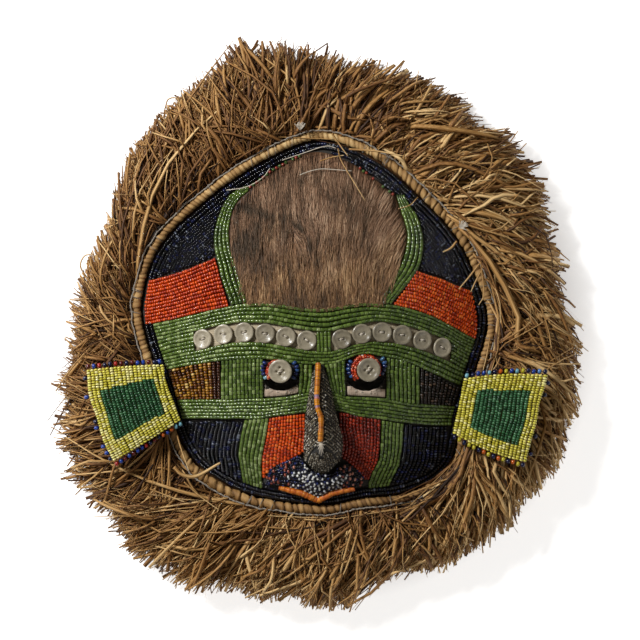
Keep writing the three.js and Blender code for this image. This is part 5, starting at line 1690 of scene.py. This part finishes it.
# %% The bound coil
COIL_RADIUS, COIL_OFFSET, COIL_LIFT = 3.1, 4.4, 1.5
WRAP_WIDTH, LUMP_WIDTH = 3.4, 2.2  # of a wrap where the binding is close, and more where lumpy
stations, sides = 2400, 14
angle = np.arange(stations)[:, None] * TAU / stations
turn = np.arange(sides)[None, :] * TAU / sides
outer = edge_radius(angle)
x, y, rim_z = rim_path(angle, COIL_OFFSET)
run = np.concatenate([[0], np.cumsum(np.hypot(np.diff(x[:, 0]), np.diff(y[:, 0])))])[:, None]
total = run[-1, 0] + np.hypot(x[0, 0] - x[-1, 0], y[0, 0] - y[-1, 0])
coil_rng = np.random.default_rng(131)
degrees = np.degrees(angle) % 360
lumps_at = sum(most * np.exp(-(((degrees - middle) / wide) ** 2))
               for most, middle, wide in ((1, 42, 24), (1, 240, 22), (0.7, 262, 14)))
wrap_rate = 1 / (WRAP_WIDTH + LUMP_WIDTH * np.clip(lumps_at, 0, 1))
wrap_run = np.cumsum(wrap_rate, 0) * total / stations
wraps = int(round(wrap_run[-1, 0]))
uneven = 0.45 * slow_field(run, 0 * run, 132, 22) + 0.45 * slow_field(run, 0 * run, 133, 9)
phase = wrap_run * wraps / wrap_run[-1, 0] + uneven + turn / TAU
wrap_number = np.floor(phase).astype(int) % wraps
wrap_size = coil_rng.uniform(-0.45, 0.35, wraps)[wrap_number]
# Here and there the binding is pressed flat, and its wraps hardly part
pressed = np.clip(0.2 + 0.5 * slow_field(run, 0 * run, 134, 30), 0, 0.7)
arch = mix(np.sin(np.pi * (phase % 1)) ** 0.5, 0.9, pressed)
radius = COIL_RADIUS * (0.78 + 0.19 * arch) + wrap_size + lumps_at * (1.15 * arch - 0.75)
points = np.stack([
    (outer + COIL_OFFSET + radius * np.cos(turn)) * np.cos(angle),
    (outer + COIL_OFFSET + radius * np.cos(turn)) * np.sin(angle),
    rim_z + COIL_LIFT + radius * np.sin(turn)], -1)
tone = coil_rng.uniform(0.5, 0.85, wraps)[wrap_number]
# Painted shade darkens the binding at the lower right and in the dips between its wraps, and
# painted light makes it paler at the top
painted_shade_lower_right = np.clip(np.cos(angle - np.radians(-55)), 0, 1) ** 2
top = np.clip(np.cos(angle - np.radians(95)), 0, 1) ** 8
mesh_piece("bound_coil", points, [
    grid_faces(stations, sides, close_rows=True, close_columns=True)[:, ::-1]], coil_raffia,
    "coil_raffia", ["rim_coil"], {
        "tint": tone * (0.35 + 0.65 * arch) - 0.2 * painted_shade_lower_right + 0.25 * top,
        "along": phase % 1 * 0.1 + turn / TAU, "across": phase * 1.3})
print("the coil is", round(total), "mm long and has", wraps, "wraps")

# %% [markdown]
# The ruff is built from tufts. Each tuft has its own heading, lift and tone, and its blades differ
# a little from it, so dark gaps open between the tufts. Blades start under the coil, at a height
# that depends on their layer, rise a little and droop to the table. The last row is sewn on further
# out and fills the edge. A mat of bound roots lies underneath and closes the gaps; it is painted
# dark, as shade deep in the ruff.

# %% Lean, edge, tone and width of the ruff
# The ruff has been combed round by wear: degrees by which the blades lean from straight outward
SWIRL = smooth_line([
    [0, -70], [20, -54], [40, -44], [60, -50], [78, -44], [90, -8], [100, 14], [110, 8],
    [120, -12], [130, -44], [140, -72], [160, -86], [170, -34], [178, 50], [190, 34], [202, -30],
    [220, -4], [240, -26], [260, -4], [280, -18], [300, -62], [320, -34], [340, -52], [360, -70],
])
# Every few degrees the ragged edge reaches a share further or less far
ragged_rng = np.random.default_rng(140)
RAGGED_AT = np.sort(ragged_rng.uniform(0, 360, 125))
RAGGED_BY = ragged_rng.uniform(-0.05, 0.032, 125)
# Painted light and shade round the ruff, darker or paler: added to the blades' tone at these
# degrees
RUFF_LIGHT_AND_SHADE = [[0, 20, 40, 60, 80, 100, 120, 135, 150, 165, 180, 200, 215, 230, 245, 260, 275, 290,
              305, 320, 335, 350, 360],
             [-0.04, -0.01, -0.05, -0.1, -0.15, -0.21, -0.15, -0.04, 0.02, -0.08, -0.14, -0.07,
              -0.11, -0.12, 0.03, 0.1, 0.05, 0.02, 0.04, 0.1, 0.16, 0.11, -0.02]]
# Near the coil the blades are painted darker in some directions, as shade, and paler in others, as
# light
ROOT_LIGHT_AND_SHADE = [[10, 30, 50, 70, 90, 110, 130, 150, 170, 190, 210, 230, 250, 270, 290, 310, 330, 350],
             [-0.22, -0.12, 0.2, 0.28, 0.13, 0.2, -0.08, -0.28, 0, 0.1, 0, -0.13, 0.15, 0, -0.27,
              -0.58, -0.5, -0.55]]
# The blades are broad on the upper right and narrow on the left: their width's factor
RUFF_WIDTH = [[0, 60, 100, 140, 200, 250, 360], [1.0, 1.12, 1.0, 0.78, 0.78, 1.0, 1.0]]


def ruff_limit(degrees):
    """The reach of the ruff with its ragged edge: a random share of it more or less every few
    degrees, with straight slopes in between."""
    more = np.interp(degrees % 360, RAGGED_AT, RAGGED_BY, period=360)
    return RUFF_REACH(degrees % 360) * (1 + more)


print("the ragged edge varies by", round(float(np.ptp(RAGGED_BY)) * 100), "percent")

# %% How a row of blades lies


def ruff_blades(count, seed, tufts, layer, reach_share, tuft_turn, spread, width, curl, kinked,
                wild=0.0, steps=8, swirl=1.0, begin=(0.0, 0.0)):
    """Paths (n, m, 3) of blades, with their widths, twists and tones. In plan each runs from its
    root at the coil along its tuft's heading and the ruff's lean there, for the length that brings
    its tip to a share of the ragged limit, and bends sideways with the square of the way. Its
    height is the mix of the root's and the tip's height plus an arch, 4 t (1 - t). A share of the
    blades is kinked: past a spot they go off at an angle. A share of wild blades lies across the
    others, and more do on the right side. Rows sewn on further out begin past the coil, at a share
    of the way to the limit. The tone at the root fades out with the square of the way left."""
    r = np.random.default_rng(seed)
    tuft = r.integers(0, tufts, count)
    tuft_angle = (np.arange(tufts) + r.uniform(-0.45, 0.45, tufts)) * TAU / tufts
    turn_of, lift_of = r.normal(0, tuft_turn, tufts), r.normal(0, 2.2, tufts)
    tone_of, reach_of = r.normal(0, 0.09, tufts), r.normal(0, 0.04, tufts)
    drawn = r.random(count)
    angle = tuft_angle[tuft] + r.normal(0, 0.26, count) * TAU / tufts
    to_right = np.clip(np.cos(angle), 0, 1)  # the right side is more tangled
    tangled, is_wild = 0.72 + 0.88 * to_right, drawn < wild * (0.5 + 0.5 * to_right)
    degrees = np.degrees(angle)
    halfway = degrees + 0.25 * SWIRL((degrees - 8) % 360)  # where the blade's middle lies
    lean = swirl * np.radians(SWIRL(halfway % 360))
    sweep = 0.42 * lean  # sideways share at the tip, as the blades curve round
    heading = angle + turn_of[tuft] + 0.55 * lean
    heading = heading + r.normal(0, spread, count) * tangled
    heading = heading + is_wild * r.normal(0, 0.9, count)
    up = np.clip(r.uniform(*layer, count), 0, 1)
    begin = r.uniform(*begin, count)
    out = r.uniform(2.0, 9.0, count) + 22 * is_wild * r.random(count)
    out = mix(out, ruff_limit(degrees) - edge_radius(angle), begin)
    x, y, _ = rim_path(angle, out)
    _, _, rim = rim_path(angle, 5.0)
    share = np.clip(r.normal(*reach_share, count) + reach_of[tuft], 0.5, 1.0)
    along_x, along_y = np.cos(heading), np.sin(heading)
    tip_x, tip_y = along_x - sweep * along_y, along_y + sweep * along_x
    ahead = x * tip_x + y * tip_y
    length = np.full(count, 60.0)
    for _ in range(3):  # the reach depends on the direction in which the tip lies
        tip = np.arctan2(y + length * tip_y, x + length * tip_x)
        reach = edge_radius(tip) + (ruff_limit(np.degrees(tip)) - edge_radius(tip)) * share
        room = (1 + sweep**2) * (reach**2 - x**2 - y**2)
        length = (np.sqrt(np.maximum(ahead**2 + room, 1)) - ahead) / (1 + sweep**2)
    length = np.where(is_wild, np.minimum(length, r.uniform(22, 48, count)), length)
    t = np.linspace(0, 1, steps)[None, :]
    side_bend = r.normal(0, curl, count)[:, None] * length[:, None] * (t**2 - 0.35 * t)
    side_bend = side_bend + (sweep * length)[:, None] * t**2
    fold_at, fold = r.uniform(0.25, 0.8, count), r.normal(0, 0.6, count) * (
        r.random(count) < kinked * tangled)
    side_bend = side_bend + (fold * length)[:, None] * np.maximum(t - fold_at[:, None], 0)
    wobble = (r.normal(0, 0.016, count) * tangled**2 * length)[:, None] * np.sin(
        7 * t + r.uniform(0, 6, count)[:, None])
    way = length[:, None] * t
    px = x[:, None] + way * along_x[:, None] - (side_bend + wobble) * along_y[:, None]
    py = y[:, None] + way * along_y[:, None] + (side_bend + wobble) * along_x[:, None]
    # A blade that bends out past the edge is drawn back towards its root
    limit = ruff_limit(np.degrees(np.arctan2(py, px))) * r.uniform(0.94, 1.03, (count, 1))
    past = (np.hypot(px, py) - limit).max(1) / np.maximum(limit[:, -1] - np.hypot(x, y), 10)
    keep = np.clip(1 - 1.15 * past, 0.45, 1)[:, None]
    px, py = mix(x[:, None], px, keep), mix(y[:, None], py, keep)
    # None crosses back over the coil
    clear = edge_radius(np.arctan2(py, px)) + np.where(t > 0, 5.5 + 6 * np.minimum(4 * t, 1), 1.5)
    px, py = (v * np.maximum(clear / np.hypot(px, py), 1) for v in (px, py))
    # What still reaches past the edge is cut away, and of the fine strands a little more
    most = 1.0 if width < 1 else 1.04
    cut_off = (np.hypot(px, py) > most * RUFF_REACH(np.degrees(np.arctan2(py, px)) % 360)).any(1)
    root_z = mix(3.0, rim + 0.6, up)
    # The side away from the light is fuller, as the mask has lain on its other side
    fuller = 0.5 - 0.5 * np.cos(angle - np.radians(135))
    tip_z = mix(1.5, 18 + 9 * fuller, up) + r.uniform(-2, 5, count) * up
    root_z = mix(root_z, tip_z + 2, begin)
    arch = mix(1.0, 9.0, up) + lift_of[tuft] * (0.3 + up) + r.normal(0, 1.4, count) * up
    pz = mix(root_z[:, None], tip_z[:, None], t) + arch[:, None] * 4 * t * (1 - t) * (1 - 0.4 * t)
    bulge = np.minimum(np.abs(fold) * length * 0.12, 3.0)[:, None]
    pz = pz + is_wild[:, None] * 2 + bulge * np.exp(-(((t - fold_at[:, None]) / 0.2) ** 2))
    pz = np.where(pz > 38, 38 + 3.5 * np.tanh((pz - 38) / 3.5), pz)  # none stands above the rim
    size = r.gamma(4, 1 / 4, count) * width * np.interp(degrees % 360, *RUFF_WIDTH)
    pointed = r.random(count)[:, None] ** 1.7  # most ends are cut square
    taper = 0.75 + 0.5 * np.sqrt(t) - (0.35 + 0.7 * pointed) * t**3
    size = np.clip(size, 0.45, 4.0)[:, None] * taper
    twist = r.uniform(-0.8, 0.8, count)[:, None] + r.normal(0, 1.0, count)[:, None] * t
    # Blades of the lower layers are painted darker, as shade under the upper ones
    tone = mix(0.07, 0.53, up**1.2) + tone_of[tuft] * tangled**1.5
    tone = tone + r.normal(0, 0.18, count) * np.maximum(tangled, 1)
    tone = np.clip(tone + np.interp(degrees % 360, *RUFF_LIGHT_AND_SHADE), 0, 1)
    root_light_and_shade = np.interp(degrees % 360, *ROOT_LIGHT_AND_SHADE, period=360)
    tone = np.clip(tone[:, None] + root_light_and_shade[:, None] * (1 - t) ** 2, 0, 1)
    paths = np.stack([px, py, np.maximum(pz, 0.7)], -1)
    return tuple(a[~cut_off] for a in (paths, size, twist, tone))


print("tones change along", len(RUFF_LIGHT_AND_SHADE[0]), "directions")


# %% The rows of the ruff


def under_ears(paths):
    """Lowers blades that would come through an ear: their height is capped below its underside."""
    x, y = paths[..., 0], paths[..., 1]
    near = (np.abs(x) > 90) & (np.abs(x) < 168) & (y < -24) & (y > -104)
    paths[..., 2] = np.where(near, np.minimum(paths[..., 2], ear_height(x) - 1.8), paths[..., 2])
    return paths


def blade_piece(name, paths, size, twist, tone, replaces=()):
    """Makes one piece of many folded blades."""
    points, faces = tubes(paths, size * 0.5, size * 0.22, FOLDED, twist)
    along = np.linspace(0, 1, paths.shape[1])[:, None]
    mesh_piece(name, points, faces, ruff_raffia, "raffia", replaces, {
        "tint": tone, "along": along, "across": [0.0, 1.0, 0.5]})


def ruff_row(name, *numbers, replaces=(), **more):
    """Makes one row of the ruff."""
    paths, size, twist, tone = ruff_blades(*numbers, **more)
    blade_piece(name, under_ears(paths), size, twist, tone[..., None], replaces)


ruff_row("raffia_low_blades", 2900, 141, 240, (0.0, 0.45), (0.95, 0.05), 0.22, 0.2, 2.0, 0.12, 0.3,
         swirl=0.8, replaces=["raffia_ruff"])
ruff_row("raffia_middle_blades", 3300, 142, 170, (0.35, 0.85), (0.93, 0.07), 0.32, 0.24, 1.9, 0.22,
         0.4, 0.08)
ruff_row("raffia_top_blades", 2400, 143, 120, (0.75, 1.0), (0.84, 0.14), 0.42, 0.3, 2.0, 0.26, 0.45,
         0.16)
ruff_row("raffia_split_blades", 3900, 145, 120, (0.55, 1.0), (0.87, 0.12), 0.42, 0.3, 1.1, 0.32,
         0.5, 0.16, 6)
ruff_row("raffia_fine_strands", 1100, 144, 160, (0.5, 1.0), (0.9, 0.12), 0.3, 0.4, 0.5, 0.4, 0.5,
         0.25)
ruff_row("raffia_outer_blades", 2600, 146, 150, (0.45, 1.0), (0.97, 0.06), 0.35, 0.25, 1.8, 0.15,
         0.35, 0, 7, 0.75, (0.25, 0.6))

# %% Bound roots under the blades
stations = 720
angle = np.arange(stations)[:, None] * TAU / stations
start = edge_radius(angle)
_, _, rim = rim_path(angle, 0)
width = RUFF_REACH(np.degrees(angle) % 360) - start
groove = 1 + 0.5 * np.sin(angle * 240 + 3 * np.sin(angle * 31))
# The section of the mat, from its inner foot up under the cloth, out over the top and back below
out = start + np.minimum([1.3, -1.5, 8, 16, 26, 34, 34, 20], 0.62 * width)
low = 0 * rim + 0.4
high = np.concatenate([low, rim - 4.6, rim - 2.5, rim - 4 + groove, 20 + 2 * groove, 9 + 2 * groove,
                       low + 0.1, low], 1)
roots = np.stack([out * np.cos(angle), out * np.sin(angle), high], -1)
# The mat's dark tint is painted shade for the depths between the blades
mesh_piece("raffia_roots", roots, [
    grid_faces(stations, 8, close_rows=True, close_columns=True)], ruff_raffia, "raffia", (), {
        "tint": 0.16 + 0.1 * groove, "along": np.linspace(0, 1, 8), "across": angle * 40})

# %% [markdown]
# ## Twine and strays
# Grey-white twine runs along the outer side of the coil and dips through it at every stitch. A few
# blades and threads lie loose across the rim, as they do on the real mask.

# %% Twine
cotton_twine = sewing_thread("grey_twine", "968f84")
angle = np.linspace(0, TAU, 1800, endpoint=False)
wander = slow_field(400 * np.cos(angle), 400 * np.sin(angle), 152, 60)
shake = slow_field(400 * np.cos(angle), 400 * np.sin(angle), 153, 16)
out = 8.0 + 1.2 * wander + 0.5 * shake
x, y, rim = rim_path(angle, out)
height = rim + 3.9 + 1.2 * np.sin(angle * 43 + 1) * shake + 0.9 * np.sin(angle * 5)
loop = np.stack([x, y, height], -1)
ahead = unit(np.roll(loop, -1, 0) - np.roll(loop, 1, 0))
side = unit(np.cross(ahead, [0, 0, 1.0]))
up = np.cross(side, ahead)
turn = np.arange(8) * TAU / 8
strand = 1 + 0.22 * np.cos(2 * (turn[None, :] - angle[:, None] * 180))
ring = loop[:, None] + 0.52 * strand[..., None] * (
    side[:, None] * np.cos(turn)[:, None] + up[:, None] * np.sin(turn)[:, None])
mesh_piece("rim_cord", ring, [
    grid_faces(1800, 8, close_rows=True, close_columns=True)[:, ::-1]], cotton_twine, "twine",
    ["rim_twine"])

# %% Knots and stitches of the twine
# Where two lengths meet, the frayed ends of a knot stick out
knot_rng = np.random.default_rng(154)
tufts = []
for knot in ((-14, 134.5), (98, 66)):
    turn_out = np.arctan2(knot[1], knot[0]) + knot_rng.normal(0, 0.5, 26)[:, None]
    far = knot_rng.uniform(3, 6.5, 26)[:, None] * np.linspace(0, 1, 5)[None, :]
    tufts.append(np.stack([knot[0] + far * np.cos(turn_out), knot[1] + far * np.sin(turn_out),
                           38.5 + 0.5 * far + 0 * turn_out], -1))
thread_piece("twine_knots", np.concatenate(tufts), 0.22, white_thread, "twine")

# The stitches that hold the coil run over it, from the twine to the cloth
spots = np.sort(np.random.default_rng(151).uniform(0, TAU, 40))
t = np.linspace(0, 1, 9)[None, :]
swing = spots[:, None] + 0.012 * (t - 0.5)
bx, by, bz = rim_path(swing, mix(9.2, 0.9, t))
over = 3.9 * np.sin(np.pi * np.clip(t * 1.02, 0, 1)) ** 0.7
thread_piece("coil_stitches", np.stack([bx, by, bz + COIL_LIFT + over], -1), 0.2, cotton_twine,
             "twine")

# %% Stray blades and threads
STEP, MIDDLE_PLACE = 0.7, (320, 322)
RUFF_TOP = 38.0  # what lies on the ruff lies at this height


def picture_path(pixels, height, samples=24):
    """A smooth path over the mask through places given in steps from the top left of a 448 mm
    square: a cubic through each pair, with the height above the cloth or the ruff."""
    spots = np.array(pixels, float)
    x, y = (spots[:, 0] - MIDDLE_PLACE[0]) * STEP, (MIDDLE_PLACE[1] - spots[:, 1]) * STEP
    s = np.linspace(0, len(x) - 1, samples)
    px, py = (smooth_line(np.column_stack([np.arange(len(x)), v]))(s) for v in (x, y))
    inside = inside_edge(px, py)
    ground = np.maximum(np.where(inside > -2, face_height(px, py), 34), 34)
    top = mix(RUFF_TOP, ground, np.clip((inside + 14) / 14, 0, 1))
    return np.stack([px, py, top + height], -1)


strays = [  # the places of a blade, its height above the ground and its width
    ([(174, 467), (183, 475), (197, 476), (220, 463)], 7.0, 3.0),
    ([(177, 435), (181, 449), (189, 471)], 7.0, 1.3),
    ([(184, 482), (201, 497), (219, 510)], 6.5, 1.1),
    ([(150, 489), (168, 496), (185, 502)], 6.5, 1.2),
    ([(338, 148), (341, 160), (353, 181), (365, 201)], 8.0, 0.8),
    ([(332, 133), (340, 145), (348, 156)], 8.0, 1.1),
    ([(349, 149), (376, 151), (403, 156)], 8.5, 1.5),
    ([(320, 161), (332, 157), (344, 155)], 7.5, 0.9),
    ([(418, 197), (410, 205), (398, 209)], 7.0, 0.8),
    ([(457, 241), (451, 248), (443, 252)], 7.0, 1.6),
    ([(481, 262), (470, 276), (459, 289)], 7.0, 1.3),
    ([(482, 270), (476, 281), (471, 292)], 7.0, 1.1),
    ([(481, 262), (484, 293), (479, 305)], 7.0, 1.0),
    ([(490, 338), (487, 355), (483, 371)], 8.0, 1.0),
    ([(500, 357), (497, 364), (493, 370)], 8.0, 0.9),
    ([(165, 108), (168, 99), (177, 98), (180, 107)], 2.0, 1.0),
    ([(86, 277), (80, 266), (84, 256), (93, 254)], 2.0, 1.0),
]
paths = np.stack([picture_path(p, h) for p, h, _ in strays])
size = np.array([w for _, _, w in strays])[:, None] * (1 - 0.5 * np.linspace(0, 1, 24)[None] ** 3)
blade_piece("stray_blades", paths, size, None, 0.74)

loose = [
    [(300, 175), (311, 171), (322, 169), (338, 170), (352, 171)],
    [(282, 160), (300, 154), (325, 146), (336, 148)],
    [(226, 190), (246, 187), (262, 178), (270, 168)],
]
thread_piece("loose_threads", np.stack([picture_path(p, 6.5, 30) for p in loose]), 0.3,
             white_thread, "twine")

# %% [markdown]
# ## Room, light and camera
# The mask lies on a plain pale floor, which glows from 13 cm out from the middle: painted light
# that fades the mask's shadow on it. A large soft light stands at the picture's upper left, a weak
# one fills from the right, and the sky is a soft white. The camera looks straight down from three
# metres with a long lens, so the mask shows no perspective.

# %% Floor, lights and camera
floor_paint, tree = empty_material("pale_floor")
place = add_node(tree, "TexCoord")
away = add_node(tree, "VectorMath", {"operation": "LENGTH"}, {0: place.outputs["Object"]})
# Beyond 13 cm from the middle the floor glows, up to 0.76 at 20 cm: painted light that fades the
# mask's shadow
glow = add_node(tree, "MapRange", inputs={
    "Value": away.outputs["Value"], "From Min": 0.13, "From Max": 0.2, "To Max": 0.76})
shader = add_node(tree, "BsdfPrincipled", inputs={
    "Base Color": linear("f7f6f4"), "Roughness": 0.85, "Emission Color": linear("ffffff"),
    "Emission Strength": glow})
add_node(tree, "OutputMaterial", inputs={"Surface": shader})
floor_mesh = bpy.data.meshes.new("floor")
floor_mesh.from_pydata([(-4, -4, 0), (4, -4, 0), (4, 4, 0), (-4, 4, 0)], [], [(0, 1, 2, 3)])
floor_mesh.materials.append(floor_paint)
floor = bpy.data.objects.new("floor", floor_mesh)
bpy.context.scene.collection.objects.link(floor)
floor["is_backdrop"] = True


def soft_light(name, place, size, power, colour="ffffff"):
    """A square lamp that faces the mask."""
    lamp = bpy.data.lights.new(name, "AREA")
    lamp.shape, lamp.size, lamp.energy = "SQUARE", size, power
    lamp.color = linear(colour)[:3]
    holder = bpy.data.objects.new(name, lamp)
    bpy.context.scene.collection.objects.link(holder)
    holder.location = place
    from_lamp = -np.array(place)
    tilt = np.arctan2(np.hypot(*from_lamp[:2]), -from_lamp[2])
    holder.rotation_euler = (tilt, 0, np.arctan2(from_lamp[1], from_lamp[0]) - np.pi / 2)
    return holder


soft_light("key_light", (-1.3, 0.95, 1.36), 0.4, 49)
soft_light("fill_light", (1.5, -1.2, 1.2), 1.2, 4)
world = bpy.data.worlds.new("studio")
world.use_nodes = True
world.node_tree.nodes["Background"].inputs["Color"].default_value = linear("fff3e4")
world.node_tree.nodes["Background"].inputs["Strength"].default_value = 0.13
bpy.context.scene.world = world
bpy.context.scene.view_settings.view_transform = "Standard"

camera_data = bpy.data.cameras.new("camera")
camera = bpy.data.objects.new("camera", camera_data)
bpy.context.scene.collection.objects.link(camera)
DISTANCE, FACE_LEVEL, FRAME_WIDTH = 3.0, 0.045, 0.448
camera.location = (0, 0.0014, DISTANCE)
camera_data.sensor_width = 36
camera_data.lens = 36 * (DISTANCE - FACE_LEVEL) / FRAME_WIDTH
camera_data.clip_end = 20
bpy.context.scene.camera = camera
print("lens", round(camera_data.lens), "mm")

# %% Sizes and end
shown = [o.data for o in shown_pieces() if o.type == "MESH" and not o.hide_render]
print("triangles in all", sum(len(m.loops) - 2 * len(m.polygons) for m in shown))
